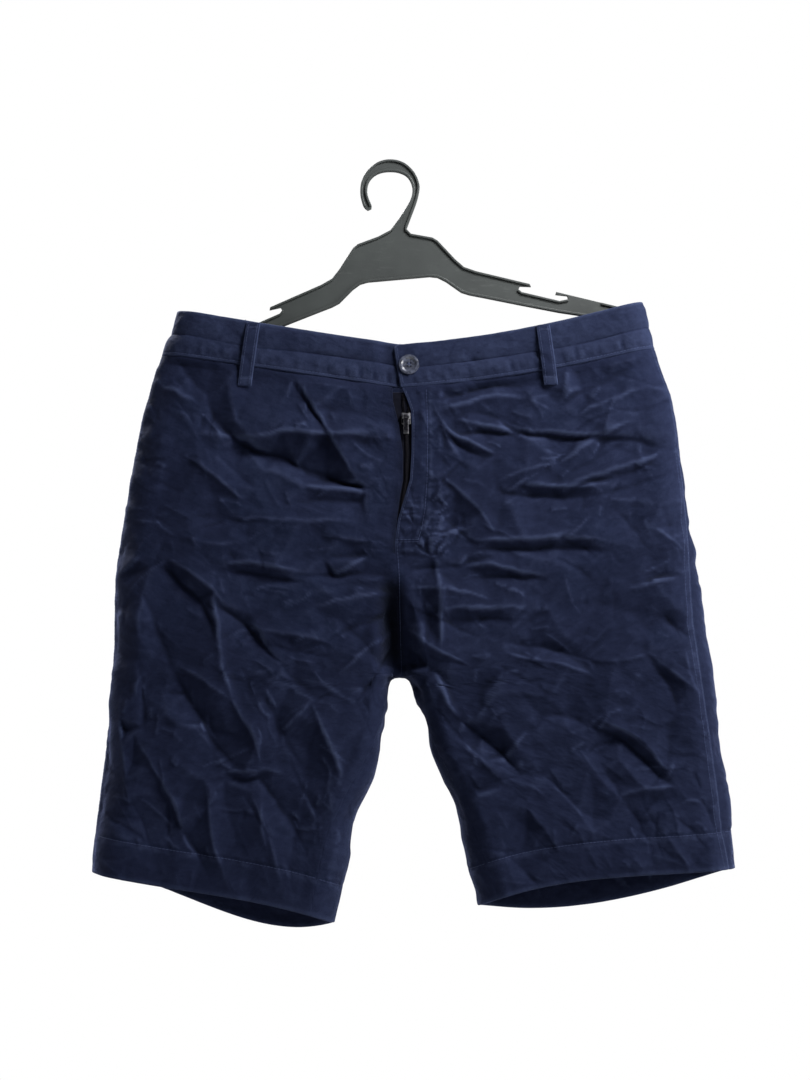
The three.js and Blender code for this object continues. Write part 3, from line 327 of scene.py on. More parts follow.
# The cloth lies in flat facets between its creases: a net of triangles whose knots are the creases' own
# points, each with its height, and loose knots of small height in the plain places between them
def crease_net(creases, seed):
    dice = np.random.default_rng(seed)
    knots, heights, edges = [], [], []
    for x0, z0, x1, z1, lift, _, _, bow in creases:
        length = math.hypot(x1 - x0, z1 - z0)
        count = max(2, round(length / 26))
        first = len(knots)
        for k in range(count + 1):
            part = k / count
            off = bow * 4 * part * (1 - part) + (dice.normal(0, 1.3) if 0 < k < count else 0)
            knots.append((x0 + (x1 - x0) * part - (z1 - z0) / length * off, z0 + (z1 - z0) * part + (x1 - x0) / length * off))
            heights.append(lift * (0.2 + 0.8 * math.sin(math.pi * part) ** 0.7) + dice.normal(0, 0.15))
        edges += [(first + k, first + k + 1) for k in range(count)]
    taken = np.array(knots)
    for x in np.arange(-300, 345, NET_GAP):
        for z in np.arange(-700, -150, NET_GAP):
            spot = np.array([x, z]) + dice.uniform(-0.42, 0.42, 2) * NET_GAP
            if np.min(np.hypot(*(taken - spot).T)) > NET_CLEAR:
                knots.append(tuple(spot))
                heights.append(dice.normal(0, 1.1))
    made = delaunay_2d_cdt([Vector(k) for k in knots], edges, [], 0, 0.001)
    places = np.array([tuple(v) for v in made[0]])
    levels = []
    for place, sources in zip(places, made[3]):
        if sources:
            levels.append(np.mean([heights[k] for k in sources]))
            continue
        met = []
        for a, b in edges:
            (ax, az), (bx, bz) = knots[a], knots[b]
            length = math.hypot(bx - ax, bz - az)
            part = ((place[0] - ax) * (bx - ax) + (place[1] - az) * (bz - az)) / length**2
            off = abs((place[1] - az) * (bx - ax) - (place[0] - ax) * (bz - az)) / length
            if off < 0.05 and 0 <= part <= 1:
                met.append(heights[a] + (heights[b] - heights[a]) * part)
        levels.append(np.mean(met) if met else 0)
    return places, np.array(levels), [list(f) for f in made[2]]


def net_height(net, x, z):
    places, levels, faces = net
    height = np.zeros(np.shape(x))
    for face in faces:
        (ax, az), (bx, bz), (cx, cz) = places[face]
        box = (x >= min(ax, bx, cx)) & (x <= max(ax, bx, cx)) & (z >= min(az, bz, cz)) & (z <= max(az, bz, cz))
        if not box.any():
            continue
        whole = (bx - ax) * (cz - az) - (cx - ax) * (bz - az)
        px, pz = x[box] - ax, z[box] - az
        u = (px * (cz - az) - (cx - ax) * pz) / whole
        v = ((bx - ax) * pz - px * (bz - az)) / whole
        inside = (u >= -1e-6) & (v >= -1e-6) & (u + v <= 1 + 1e-6)
        found = height[box]
        a, b, c = levels[face]
        found[inside] = (a + (b - a) * u + (c - a) * v)[inside]
        height[box] = found
    return height


NET_GAP, NET_CLEAR = 25, 11
SMALL_CREASES = 560
NETS = {False: crease_net(FRONT_CREASES, 3), True: crease_net(BACK_CREASES, 4)}
SMALL = {False: small_creases(FRONT_CREASES, 5), True: small_creases(BACK_CREASES, 6)}
FACET_SHARE, PINCH_SHARE, TROUGH_SHARE, SMALL_SHARE = 1.8, 0.9, 0.55, 1.15


def eased(height, times=1):
    for _ in range(times):
        wide = np.pad(height, 1, mode="edge")
        height = (wide[:-2, 1:-1] + wide[2:, 1:-1] + 2 * height) / 4
        wide = np.pad(height, 1, mode="edge")
        height = (wide[1:-1, :-2] + wide[1:-1, 2:] + 2 * height) / 4
    return height


# Height of the creased cloth over the smooth form, in mm, at places in mm
def relief(back, x, z):
    seed = 40 if back else 20
    wander_x = x + 2.6 * drift(x / 30, z / 30, seed) + 0.9 * drift(x / 9, z / 9, seed + 1)
    wander_z = z + 2.6 * drift(x / 30, z / 30, seed + 2) + 0.9 * drift(x / 9, z / 9, seed + 3)
    pinch = np.zeros(np.shape(x))
    main = [(*crease[:4], crease[4] * (PINCH_SHARE if crease[4] > 0 else TROUGH_SHARE), *crease[5:])
            for crease in (BACK_CREASES if back else FRONT_CREASES)]
    for x0, z0, x1, z1, lift, left, right, bow in main + SMALL[back]:
        length = math.hypot(x1 - x0, z1 - z0)
        ax, az = (x1 - x0) / length, (z1 - z0) / length
        far = 3 * max(left, right) + abs(bow)
        near = (wander_x > min(x0, x1) - far) & (wander_x < max(x0, x1) + far)
        near &= (wander_z > min(z0, z1) - far) & (wander_z < max(z0, z1) + far)
        if not near.any():
            continue
        dx, dz = wander_x[near] - x0, wander_z[near] - z0
        run = dx * ax + dz * az
        part = np.clip(run / length, 0, 1)
        off = dz * ax - dx * az - bow * 4 * part * (1 - part)
        beyond = np.maximum(np.maximum(-run, run - length), 0)
        reach = np.where(off > 0, left, right) * (0.24 + 0.32 * np.sin(math.pi * part))
        sharp = np.sqrt(off * off + beyond * beyond + 0.36) - 0.6
        pinch[near] += lift * smooth(part / 0.3 + 0.1) * smooth((1 - part) / 0.3 + 0.1) * np.exp(-sharp / (0.6 * reach))
    facets = net_height(NETS[back], wander_x, wander_z)
    warp = 0.35 * drift(x / 60, z / 60, seed + 4)
    hips = smooth((z + 470) / 110)
    level = crumple(x / 27 + warp, z / 15 - x / 90, seed + 6)
    slant = crumple((x - 0.35 * z) / 19 + warp, (z + 0.3 * x) / 26, seed + 8)
    fine = crumple((x + z * 0.2) / 11 + 2 * warp, (z - 0.2 * x) / 7.5, seed + 9)
    rough = 0.5 + 0.5 * drift(x / 42, z / 42, seed + 10)
    small = (hips * level + (1 - hips) * slant) * (0.25 + 0.5 * rough) + fine * (0.05 + 0.3 * rough)
    return eased(FACET_SHARE * facets + SMALL_SHARE * small + 0.6 * pinch) + 0.4 * pinch


COARSE = 1


# A closed shell of cloth from its outer and inner faces, rounded over at its edges
def shell(name, outside, inside, chart, wear):
    rows, columns = outside.shape[:2]
    count = rows * columns
    i, j = np.meshgrid(np.arange(rows - 1), np.arange(columns - 1), indexing="ij")
    a = (i * columns + j).ravel()
    outer = np.stack([a, a + columns, a + columns + 1, a + 1], -1)
    inner = outer[:, ::-1] + count
    across, down = np.arange(columns), np.arange(rows)
    edge = np.concatenate([across[:-1], down[:-1] * columns + columns - 1,
                           (rows - 1) * columns + across[:0:-1], down[:0:-1] * columns])
    er, ec = np.divmod(edge, columns)
    inward = np.clip(er, 1, rows - 2) * columns + np.clip(ec, 1, columns - 2)
    front, rear = outside.reshape(-1, 3), inside.reshape(-1, 3)
    middle = (front[edge] + rear[edge]) / 2
    away = unit(front[edge] - front[inward])
    half = (front[edge] - rear[edge]) / 2
    away = unit(away - unit(half) * np.sum(away * unit(half), -1, keepdims=True))
    thick = np.linalg.norm(half, axis=-1, keepdims=True)
    turns = [math.pi * k / 5 for k in (1, 2, 3, 4)]
    rings = [middle + half * math.cos(t) + away * thick * math.sin(t) * 0.9 for t in turns]
    points = np.concatenate([front, rear, *rings])
    size = len(edge)
    loops = [edge] + [2 * count + k * size + np.arange(size) for k in range(len(turns))] + [edge + count]
    rim = [np.stack([p, np.roll(p, -1), np.roll(q, -1), q], -1) for p, q in zip(loops, loops[1:])]
    faces = np.concatenate([outer, inner, *rim])
    corner = points[faces]
    volume = np.sum(np.cross(corner[:, 0], corner[:, 1]) * corner[:, 2])
    if volume < 0:
        faces = faces[:, ::-1]
    flat = lambda values: np.concatenate([values.reshape(count, -1)] * 2 + [values.reshape(count, -1)[edge]] * len(turns))
    return cloth_object(name, points * MM, faces, flat(chart), flat(wear)[:, 0])


def cloth_object(name, points, faces, chart, wear):
    mesh = bpy.data.meshes.new(name)
    mesh.from_pydata(points.tolist(), [], faces.tolist())
    mesh.attributes.new("wear", "FLOAT", "POINT").data.foreach_set("value", wear.astype(np.float32))
    corners = np.zeros(len(mesh.loops), np.int32)
    mesh.loops.foreach_get("vertex_index", corners)
    mesh.uv_layers.new(name="cloth").data.foreach_set("uv", (chart[corners] * MM).astype(np.float32).ravel())
    mesh.shade_smooth()
    piece = bpy.data.objects.new(name, mesh)
    bpy.context.collection.objects.link(piece)
    return piece


def runs(points):
    step = lambda axis: np.linalg.norm(np.diff(points, axis=axis), axis=-1)
    u = np.concatenate([np.zeros((points.shape[0], 1)), np.cumsum(step(1), 1)], 1)
    v = np.concatenate([np.zeros((1, points.shape[1])), np.cumsum(step(0), 0)], 0)
    return u, v


def grid_normals(points, like):
    normal = unit(np.cross(np.gradient(points, axis=1), np.gradient(points, axis=0)))
    return np.where(np.sum(normal * like, -1, keepdims=True) < 0, -normal, normal)


# Paler where a fold stands out, rubbed wear and painted highlight, and painted shade down in the troughs
def rubbed_ridges_shaded_troughs(height):
    near = (np.roll(height, 1, 0) + np.roll(height, -1, 0) + np.roll(height, 1, 1) + np.roll(height, -1, 1)) / 4
    mark = 2.4 * (height - near)
    mark[:4], mark[-4:], mark[:, :4], mark[:, -4:] = 0, 0, 0, 0
    return np.clip(mark, -1, 1)


def panel(side, back):
    torso = np.linspace(0, 1, (128 if back else 152) // COARSE + 1)
    leg = np.linspace(1, 2, (104 if back else 120) // COARSE + 1)
    row = np.concatenate([torso, leg[1:]])
    row[0] = 0.0011
    low_z, outer_z = row_ends(side, np.array(back), row)[3], read(LEVELS, row, side)
    turn = lambda far, radius: EDGE_SHARE * np.arccos(np.clip(1 - far / radius, -1, 1)) / (math.pi / 2)
    side_turn = 1 - turn(read(FOLDED_EDGE, outer_z, side + "_side"), read(DEPTH, outer_z, "outer"))
    inseam = turn(read(FOLDED_EDGE, low_z, side + "_inseam"), read(FOLDED_EDGE, low_z, "inner"))
    inseam = np.where(row > 1, inseam, 0)
    start, end = (side_turn, 2 + inseam) if back else (inseam, side_turn)
    knots = [0, 0.19, 0.81, 1]
    spread = np.interp(np.linspace(0, 1, (126 if back else 166) // COARSE + 1), knots, [0, EDGE_SHARE, 1 - EDGE_SHARE, 1])
    around = start[:, None] + (end - start)[:, None] * spread[None, :]
    row = np.repeat(row[:, None], around.shape[1], 1)
    base = cloth_point(side, around, row)
    normal = cloth_normal(side, around, row)
    # The deep fold at the crotch: both fronts dip in alike beside their seam
    fork = smooth((-366 - base[..., 2]) / 34) * smooth((base[..., 2] + 462) / 44) * (not back)
    base[..., 1] += FORK_DIP * fork * np.exp(-(((base[..., 0] - 1) / 9) ** 2))
    u, v = runs(base)
    width, length = u[:, -1:], v[-1:, :]
    seam_far = (u if back else width - u)
    inner_far = (width - u if back else u)
    fly = np.where((not back) & (base[:1, :, 2] > 0), 0, 1) * (row < 0.56) * (not back)
    above_hem = length - v
    lift = relief(back, base[..., 0], base[..., 2])
    lift = lift * smooth(v / 8) * (0.06 + 0.94 * smooth(seam_far / 12))
    lift = lift * np.where(fly > 0, 0.6 + 0.4 * smooth(inner_far / 12), 0.06 + 0.94 * smooth(inner_far / 12))
    lift = lift * (1 - 0.35 * smooth((HEM_DEPTH + 4 - above_hem) / 8))
    # The cloth stays off the zip and its facing behind it
    if not back:
        x, z = base[..., 0], base[..., 2]
        fly_zone = smooth((x + 32) / 14) * smooth((58 - x) / 12) * smooth((z + 360) / 12)
        lift = lift * (1 - 0.2 * fly_zone)
        stop = -0.45 * fly_zone - 9 * (1 - fly_zone)
        lift = stop + np.logaddexp(0, (lift - stop) * 1.6) / 1.6
        bunched = fly_zone * (0.4 + 1.2 * smooth((z + 376) / 20) * smooth((-296 - z) / 20) * smooth((x - 6) / 6))
        puckers = np.abs(crumple(x / 7.5, z / 8 + x / 30, 57)) + 0.7 * np.abs(drift(z / 5, x / 22, 58))
        lift += bunched * 0.75 * puckers * smooth(inner_far / 3)
    # The sewing draws the cloth into small ripples
    ripple = lambda run, seed: 1.3 * drift(run / 4.6, (u + v - run) / 30, seed)
    wide = 0.6 + 0.4 * drift(u / 40, v / 40, 77)
    lift += 0.42 * wide * ripple(v, 51) * np.exp(-(((seam_far - 5) / 5) ** 2))
    lift += 0.3 * wide * ripple(v + 5, 52) * np.exp(-((inner_far / 5) ** 2)) * (fly < 1)
    lift += 0.62 * wide * ripple(u + 0.5 * v, 53) * np.exp(-(((above_hem - HEM_DEPTH) / 6) ** 2))
    lift += 0.22 * wide * ripple(u + 9, 54) * np.exp(-((above_hem / 9) ** 2))
    lift += 0.3 * wide * ripple(u, 55) * np.exp(-(((v - 7) / 5) ** 2))
    lift -= 0.3 * np.exp(-(((above_hem - HEM_DEPTH) / 1.6) ** 2))
    curve_x, curve_z = np.array(FLY_CURVE[::-1]).T
    from_curve = base[..., 0] - np.interp(base[..., 2], curve_z, curve_x)
    at_curve = (side == "left") * (not back) * smooth((base[..., 2] + 346) / 6)
    lift += at_curve * (0.5 * wide * ripple(v + 3, 56) * np.exp(-((from_curve / 6) ** 2)) - 0.4 * np.exp(-((from_curve / 1.8) ** 2)))
    lift -= 0.55 * np.exp(-((seam_far / 1.2) ** 2)) * (1 if back else 0.5)
    lift -= 0.5 * np.exp(-((v / 1.3) ** 2))
    middle = base + normal * lift[..., None]
    facing = grid_normals(middle, normal)
    facing = np.where((row <= 1)[..., None] & (inner_far < 2.5)[..., None], normal, facing)
    hem = smooth((HEM_DEPTH - above_hem) / 1.5)
    # Ridges rubbed paler with painted highlight, painted shade in the troughs, then worn hem and seam edges
    wear = rubbed_ridges_shaded_troughs(lift)
    wear += 0.5 * np.exp(-((above_hem / 2.5) ** 2)) + 0.35 * (1 - smooth(seam_far / 2.5))
    # Paler along the left front's worn fly edge; along the right front's fly edge, painted shadow where the left front
    # laps over it
    wear += (0.55 if side == "left" else -0.7) * fly * (1 - smooth(inner_far / (2.5 if side == "left" else 7)))
    rubbed = 0.5 + 0.5 * drift(u / 7, v / 7, 78)
    wear += 0.45 * rubbed * np.exp(-(((above_hem - HEM_DEPTH + 4) / 2) ** 2))
    wear += 0.4 * rubbed * at_curve * np.exp(-(((from_curve - 3) / 2) ** 2))
    wear += 0.4 * rubbed * (not back) * np.exp(-(((seam_far - 4) / 2.5) ** 2))
    # Painted shade down in the crotch recess between the two fronts
    wear -= 1.6 * np.minimum(fork * 2, 1) * np.exp(-(((base[..., 0] - 2) / 11) ** 2))
    outside = middle + facing * CLOTH_OUT
    inside = middle - facing * (CLOTH_IN + (HEM_IN - CLOTH_IN) * hem)[..., None]
    name = ("back_" if back else "front_") + side + "_cloth"
    piece = shell(name, outside, inside, np.stack([u, v], -1), wear)
    lines = {"out": outside, "normal": facing, "seam": seam_far, "inner": inner_far, "hem": above_hem, "row": row}
    return piece, lines


# A finish: its material, one method for any node, and sums written on its sockets
class Finish:
    def __init__(self, name, **fixed):
        self.material = bpy.data.materials.new(name)
        self.material.use_nodes = True
        self.tree = self.material.node_tree
        self.shader = self.tree.nodes["Principled BSDF"]
        for socket, value in fixed.items():
            self.shader.inputs[socket.replace("_", " ")].default_value = value

    def node(self, kind, settings=None, out=0, **sockets):
        node = self.tree.nodes.new("ShaderNode" + kind)
        for name, value in (settings or {}).items():
            if name == "stops":
                ramp = node.color_ramp.elements
                while len(ramp) < len(value):
                    ramp.new(0.5)
                for stop, (place, colour) in zip(ramp, value):
                    stop.position, stop.color = place, colour
            else:
                setattr(node, name, value)
        for name, value in sockets.items():
            key = int(name[1:]) if name[1:].isdigit() else name.replace("_", " ")
            self.feed(node.inputs[key], value)
        return Sum(self, node.outputs[out])

    def feed(self, socket, value):
        if isinstance(value, Sum):
            self.tree.links.new(value.socket, socket)
        else:
            socket.default_value = value

    def to(self, **sockets):
        for name, value in sockets.items():
            self.feed(self.shader.inputs[name.replace("_", " ")], value)

    def mix(self, share, one, other):
        return self.node("Mix", {"data_type": "RGBA"}, 2, i0=share, i6=one, i7=other)


class Sum:
    def __init__(self, finish, socket):
        self.finish, self.socket = finish, socket

    def by(self, operation, *values):
        sockets = {f"i{k}": value for k, value in enumerate((self, *values))}
        return self.finish.node("Math", {"operation": operation}, **sockets)

    def __add__(self, other):
        return self.by("ADD", other)

    def __mul__(self, other):
        return self.by("MULTIPLY", other)

    def __sub__(self, other):
        return self.by("SUBTRACT", other)

    def __rsub__(self, other):
        return (self * -1) + other

    def clipped(self):
        return self.by("MAXIMUM", 0.0).by("MINIMUM", 1.0)

    __radd__, __rmul__ = __add__, __mul__


def shade(red, green, blue):
    line = lambda c: c / 255 / 12.92 if c <= 10 else ((c / 255 + 0.055) / 1.055) ** 2.4
    return (line(red), line(green), line(blue), 1.0)


SHEEN = (0.35, 0.42, 0.8, 1.0)


# Twill: fine slanting ribs, slubs in the yarn, uneven dye, folds rubbed paler, and painted shade and light, carried
# with the rubbing in one attribute
def twill(name, dark, plain, rubbed, rib=0.0009):
    finish = Finish(name, Roughness=0.86, Sheen_Weight=0.16, Sheen_Roughness=0.3, Sheen_Tint=SHEEN, Specular_IOR_Level=0.05)
    chart = finish.node("UVMap", {"uv_map": "cloth"})
    across = finish.node("SeparateXYZ", out=0, Vector=chart)
    down = finish.node("SeparateXYZ", out=1, Vector=chart)
    slub = finish.node("TexNoise", Vector=chart, Scale=900.0, Detail=2.0)
    ribs = ((across + down * 1.35) * (2 * math.pi / rib) + slub * 2.5).by("SINE")
    cross = ((across - down * 0.6) * (2 * math.pi / (rib * 0.8))).by("SINE")
    place_on = finish.node("TexCoord", out=3)
    dye = finish.node("TexNoise", Vector=place_on, Scale=14.0, Detail=4.0, Roughness=0.6)
    wash = finish.node("TexNoise", Vector=chart, Scale=120.0, Detail=6.0, Roughness=0.65)
    wear = finish.node("Attribute", {"attribute_name": "wear"}, 2)
    turned = finish.node("Mapping", Vector=chart, Rotation=(0, 0, 0.5), Scale=(1.0, 1.7, 1.0))
    stray = finish.node("TexNoise", out=1, Vector=chart, Scale=30.0)
    bent = finish.node("VectorMath", {"operation": "MULTIPLY_ADD"}, i0=stray, i1=(0.012, 0.012, 0.0), i2=turned)
    facet = finish.node("TexVoronoi", {"distance": "MANHATTAN"}, Vector=bent, Scale=62.0)
    tiny_facet = finish.node("TexVoronoi", {"distance": "MANHATTAN"}, Vector=bent, Scale=150.0)
    tiny = finish.node("TexNoise", Vector=chart, Scale=260.0, Detail=3.0, Roughness=0.6)
    uneven = (dye - 0.5) * 0.22 + (wash - 0.5) * 0.17 + (tiny - 0.5) * 0.12
    # Paler or darker by the wear attribute: rubbed wear, and painted shade and light as well
    pale = (0.42 + wear * 0.3 + uneven + ribs * 0.05).clipped()
    colour = finish.node("ValToRGB", {"stops": [(0.0, dark), (0.42, plain), (1.0, rubbed)]}, Fac=pale)
    height = ribs * 0.35 + cross * 0.12 + slub * 0.5 + tiny * 0.8 + wash * 0.5 + facet * 4.0 + tiny_facet * 1.5
    finish.to(Base_Color=colour, Roughness=0.9 - wear.by("MAXIMUM", 0.0) * 0.12,
              Normal=finish.node("Bump", Height=height, Strength=0.6, Distance=0.00017))
    return finish.material


NAVY = twill("navy_twill", shade(5, 8, 18), shade(14, 19, 37), shade(49, 57, 82))
CUTS = {
    "front_right": ((0.265, 0.5), 0.116), "front_left": ((0.285, 0.5), 0.114),
    "back_right": ((0.3, 0.505), 0.13), "back_left": ((0.325, 0.505), 0.141),
}
panels = {}
for key, (cut, area) in CUTS.items():
    half, side = key.split("_")
    piece, lines = panel(side, half == "back")
    piece.data.materials.append(NAVY)
    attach(piece, "shorts")
    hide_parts(key)
    panels[key] = (piece, lines, cut, area)


# Sewing of the panels
# Core-spun thread of the cloth's own colour, about 3 mm to the stitch: two rows beside each side seam,
# one round each hem, the curved row and the two bars of the fly, and one row down each centre seam.

STITCH = 3.1
STITCH_THICK = 0.44

bpy.ops.mesh.primitive_cylinder_add(vertices=6, radius=0.5, depth=1, end_fill_type="NGON")
bpy.ops.object.mode_set(mode="EDIT")
bpy.ops.mesh.select_all(action="SELECT")
bpy.ops.mesh.bevel(offset=0.16, segments=1, affect="EDGES")
bpy.ops.object.mode_set(mode="OBJECT")
one_stitch = bpy.context.object
STITCH_POINTS = np.array([v.co for v in one_stitch.data.vertices])
STITCH_FACES = [list(p.vertices) for p in one_stitch.data.polygons]
bpy.data.objects.remove(one_stitch)


# Stitches along lines that lie on the cloth, each line its points and the cloth's direction there
def sew(name, lines, material, stitch=STITCH, thick=STITCH_THICK, sunk=0.1):
    points, faces, total = [], [], 0
    dice = np.random.default_rng(len(name))
    for way, normals in lines:
        run = np.concatenate([[0], np.cumsum(np.linalg.norm(np.diff(way, axis=0), axis=1))])
        count = int(run[-1] / stitch)
        if count < 1:
            continue
        for k in range(count):
            at = [run[-1] * (k + e) / count for e in (0.1, 0.5, 0.9)]
            a, middle, b = [np.array([np.interp(t, run, way[:, c]) for c in range(3)]) for t in at]
            up = unit(np.array([np.interp(at[1], run, normals[:, c]) for c in range(3)]))
            long = unit(b - a)
            wide = unit(np.cross(long, up)) + long * dice.normal(0, 0.03)
            lie = np.stack([wide * thick, up * thick * 0.7, (b - a) * dice.uniform(0.95, 1.05)])
            points.append((a + b) / 2 * 0.4 + middle * 0.6 + up * (thick * 0.35 - sunk) + STITCH_POINTS @ lie)
            faces += [[total + f for f in face] for face in STITCH_FACES]
            total += len(STITCH_POINTS)
    mesh = bpy.data.meshes.new(name)
    mesh.from_pydata((np.concatenate(points) * MM).tolist(), [], faces)
    mesh.materials.append(material)
    mesh.shade_smooth()
    piece = bpy.data.objects.new(name, mesh)
    bpy.context.collection.objects.link(piece)
    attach(piece, "shorts")
    return piece


def thread(name, colour, pale):
    finish = Finish(name, Roughness=0.75, Specular_IOR_Level=0.12)
    place_on = finish.node("TexCoord", out=3)
    twist = finish.node("TexNoise", Vector=place_on, Scale=1400.0, Detail=1.0)
    uneven = finish.node("TexNoise", Vector=place_on, Scale=90.0, Detail=2.0)
    finish.to(Base_Color=finish.mix((uneven * 0.8 + twist * 0.4 - 0.1).clipped(), colour, pale),
              Normal=finish.node("Bump", Height=twist, Strength=0.5, Distance=0.0002))
    return finish.material


NAVY_THREAD = thread("navy_thread", shade(26, 32, 54), shade(52, 60, 88))


# Lines on a panel at a distance from one of its edges, or at a share of the way across
def line_beside(lines, edge, far, rows=slice(None)):
    spans = lines[edge]
    way, normals = [], []
    for i in range(spans.shape[0])[rows]:
        order = np.argsort(spans[i])
        way.append([np.interp(far, spans[i][order], lines["out"][i][order, c]) for c in range(3)])
        normals.append([np.interp(far, spans[i][order], lines["normal"][i][order, c]) for c in range(3)])
    return np.array(way), np.array(normals)


def line_above_hem(lines, far):
    spans = lines["hem"]
    columns = range(1, spans.shape[1] - 1)
    pick = lambda data: np.array([[np.interp(far, spans[::-1, j], data[::-1, j, c]) for c in range(3)] for j in columns])
    return pick(lines["out"]), pick(lines["normal"])


# Places given by x and z, found on the front of a piece
def on_front(pieces, places):
    way, normals = [], []
    for x, z in places:
        for piece in pieces:
            hit, at, normal, _ = piece.ray_cast(Vector((x * MM, -0.12, z * MM)), Vector((0, 1, 0)))
            if hit:
                way.append([c / MM for c in at])
                normals.append([normal.x, normal.y, normal.z])
                break
    return np.array(way), np.array(normals)


def spaced(path, step=2.0):
    path = np.array(path, float)
    run = np.concatenate([[0], np.cumsum(np.hypot(*np.diff(path, axis=0).T))])
    marks = np.linspace(0, run[-1], max(int(run[-1] / step), 2))
    return list(zip(np.interp(marks, run, path[:, 0]), np.interp(marks, run, path[:, 1])))


FLY_BARS = [[(6.5, -340), (27, -340)], [(6.5, -342), (27, -342)]]
for key, (piece, lines, cut, area) in panels.items():
    rows = lines["row"][:, 0]
    seams = [line_above_hem(lines, HEM_DEPTH - 1.5)]
    if key.startswith("front"):
        seams += [line_beside(lines, "seam", 1.6), line_beside(lines, "seam", 6.2)]
    if key == "front_left":
        seams += [line_beside(lines, "inner", 1.7, slice(2, int(np.searchsorted(rows, 0.97))))]
        seams += [on_front([piece], spaced(path)) for path in [FLY_CURVE, *FLY_BARS]]
    if key == "back_left":
        seams += [line_beside(lines, "inner", 1.8, slice(2, int(np.searchsorted(rows, 0.9))))]
    sewing = sew(key + "_stitching", seams, NAVY_THREAD)


# Waistband
# A straight band of the same twill, folded double over its lining and sewn on in two halves, the left
# end lapped over the right at the front. It is edge-stitched along its foot, and a soft trough runs along it.

BAND_OUT = 1.15
BAND_END = (5.2, 11.8)
RIGHT_END = 38
UNDERLAP_FROM, UNDERLAP_TO, UNDERLAP_IN = -14, 1, 2.6


def band_place(side, back, row, x):
    outer_x, outer_z, inner_x, inner_z = row_ends(side, back, row)
    ends = (outer_x, outer_z, CROTCH_X, inner_z)
    point = place(side, back, row, ends, (x - CROTCH_X) / (outer_x - CROTCH_X))
    if side == "right":
        tuck = smooth((x - UNDERLAP_FROM) / (UNDERLAP_TO - UNDERLAP_FROM))
        point[..., 1] += np.where(back, 0, UNDERLAP_IN * tuck)
    return point


def band_spot(side, around, row):
    back = around > 1
    outer_x, outer_z = read(OUTLINE, read(LEVELS, row, side), side), read(LEVELS, row, side)
    sign = -1 if side == "right" else 1
    up = -row
    front_end = np.full(np.shape(row), float(RIGHT_END))
    if side == "left":
        corner = np.clip((up - 0.86) / 0.14, 0, 1)
        front_end = BAND_END[1] + (BAND_END[0] - BAND_END[1]) * up + 4.5 * (1 - np.sqrt(1 - corner * corner))
    inner_x = np.where(back, CROTCH_X + sign * SEAM, front_end)
    across = np.where(back, 2 - around, around)
    width = np.abs(outer_x - inner_x)
    outer = read(DEPTH, outer_z, "outer")
    turned = 1 - across
    bent = width - outer * (1 - np.cos(turned / EDGE_SHARE * math.pi / 2))
    from_inner = np.where(turned < EDGE_SHARE, bent, (width - outer) * across / (1 - EDGE_SHARE))
    return band_place(side, back, row, inner_x + sign * from_inner)


def band(side):
    row = np.linspace(-1, -0.006, 40 // COARSE + 1)
    around = np.linspace(0, 2, 240 // COARSE + 1)
    around, row = np.meshgrid(around, row)
    base = band_spot(side, around, row)
    high, low = band_spot(side, np.minimum(around + 0.01, 2), row), band_spot(side, np.maximum(around - 0.01, 0), row)
    normal = unit(np.cross(band_spot(side, around, row + 0.05) - band_spot(side, around, row - 0.05), high - low))
    normal = normal * (-1 if side == "right" else 1)
    u, v = runs(base)
    tall = v[-1:, :]
    share = v / tall
    x = base[..., 0]
    seed = 61 if side == "right" else 66
    trough = 0.52 + 0.07 * drift(u / 55, u * 0, seed)
    lift = -1.9 * (0.75 + 0.35 * drift(u / 38, u * 0, seed + 1)) * np.exp(-np.abs(share - trough) / 0.07)
    lift += 0.7 * np.exp(-(((share - trough - 0.2) / 0.13) ** 2)) + 0.35 * np.exp(-(((share - 0.22) / 0.2) ** 2))
    lift += 0.35 * crumple(u / 21 + 0.4 * drift(u / 20, v / 20, seed + 2), v / 13 + u / 60, seed + 3) * smooth(v / 6)
    lift += 0.2 * crumple(u / 8.5, v / 6.5 - u / 30, seed + 4)
    lift += 0.4 * drift(u / 4.2, v / 30, seed + 5) * np.exp(-(((tall - v - 6) / 6) ** 2))
    lift -= 0.35 * np.exp(-(((tall - v - 1.9) / 1.0) ** 2))
    end = np.minimum(u, u[:, -1:] - u)
    lift *= 0.4 + 0.6 * smooth(end / 8)
    middle = base + normal * lift[..., None]
    facing = grid_normals(middle, normal)
    # Ridges rubbed paler with painted highlight, painted shade along the trough, and worn edges at top and foot
    wear = rubbed_ridges_shaded_troughs(lift) + 0.5 * (1 - smooth(v / 3)) + 0.2 * (1 - smooth((tall - v) / 2))
    if side == "left":
        wear += 0.6 * (1 - smooth(u / 2.5))
    outside, inside = middle + facing * BAND_OUT, middle - facing * BAND_OUT
    # Painted light: the whole band is made paler, as if more lit than the panels below it
    piece = shell("waistband_" + side + "_cloth", outside, inside, np.stack([u, v], -1), wear + 0.28)
    return piece, {"out": outside, "normal": facing, "foot": tall - v, "end": u, "back_end": u[:, -1:] - u}


bands = {}
for side, length in (("right", 0.485), ("left", 0.5)):
    piece, lines = band(side)
    piece.data.materials.append(NAVY)
    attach(piece, "shorts")
    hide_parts("waistband_" + side)
    foot = {"hem": lines["foot"], "out": lines["out"], "normal": lines["normal"]}
    seams = [line_above_hem(foot, 1.9)]
    if side == "left":
        seams.append(line_beside(lines, "end", 2.0, slice(3, -3)))
    sewing = sew("waistband_" + side + "_stitching", seams, NAVY_THREAD)
    bands[side] = (piece, lines)


# Belt loops
# Five narrow strips of the twill, folded and edge-stitched on both sides, and tacked down at the top of
# the band and just below its seam, so that each stands proud between its tacks.

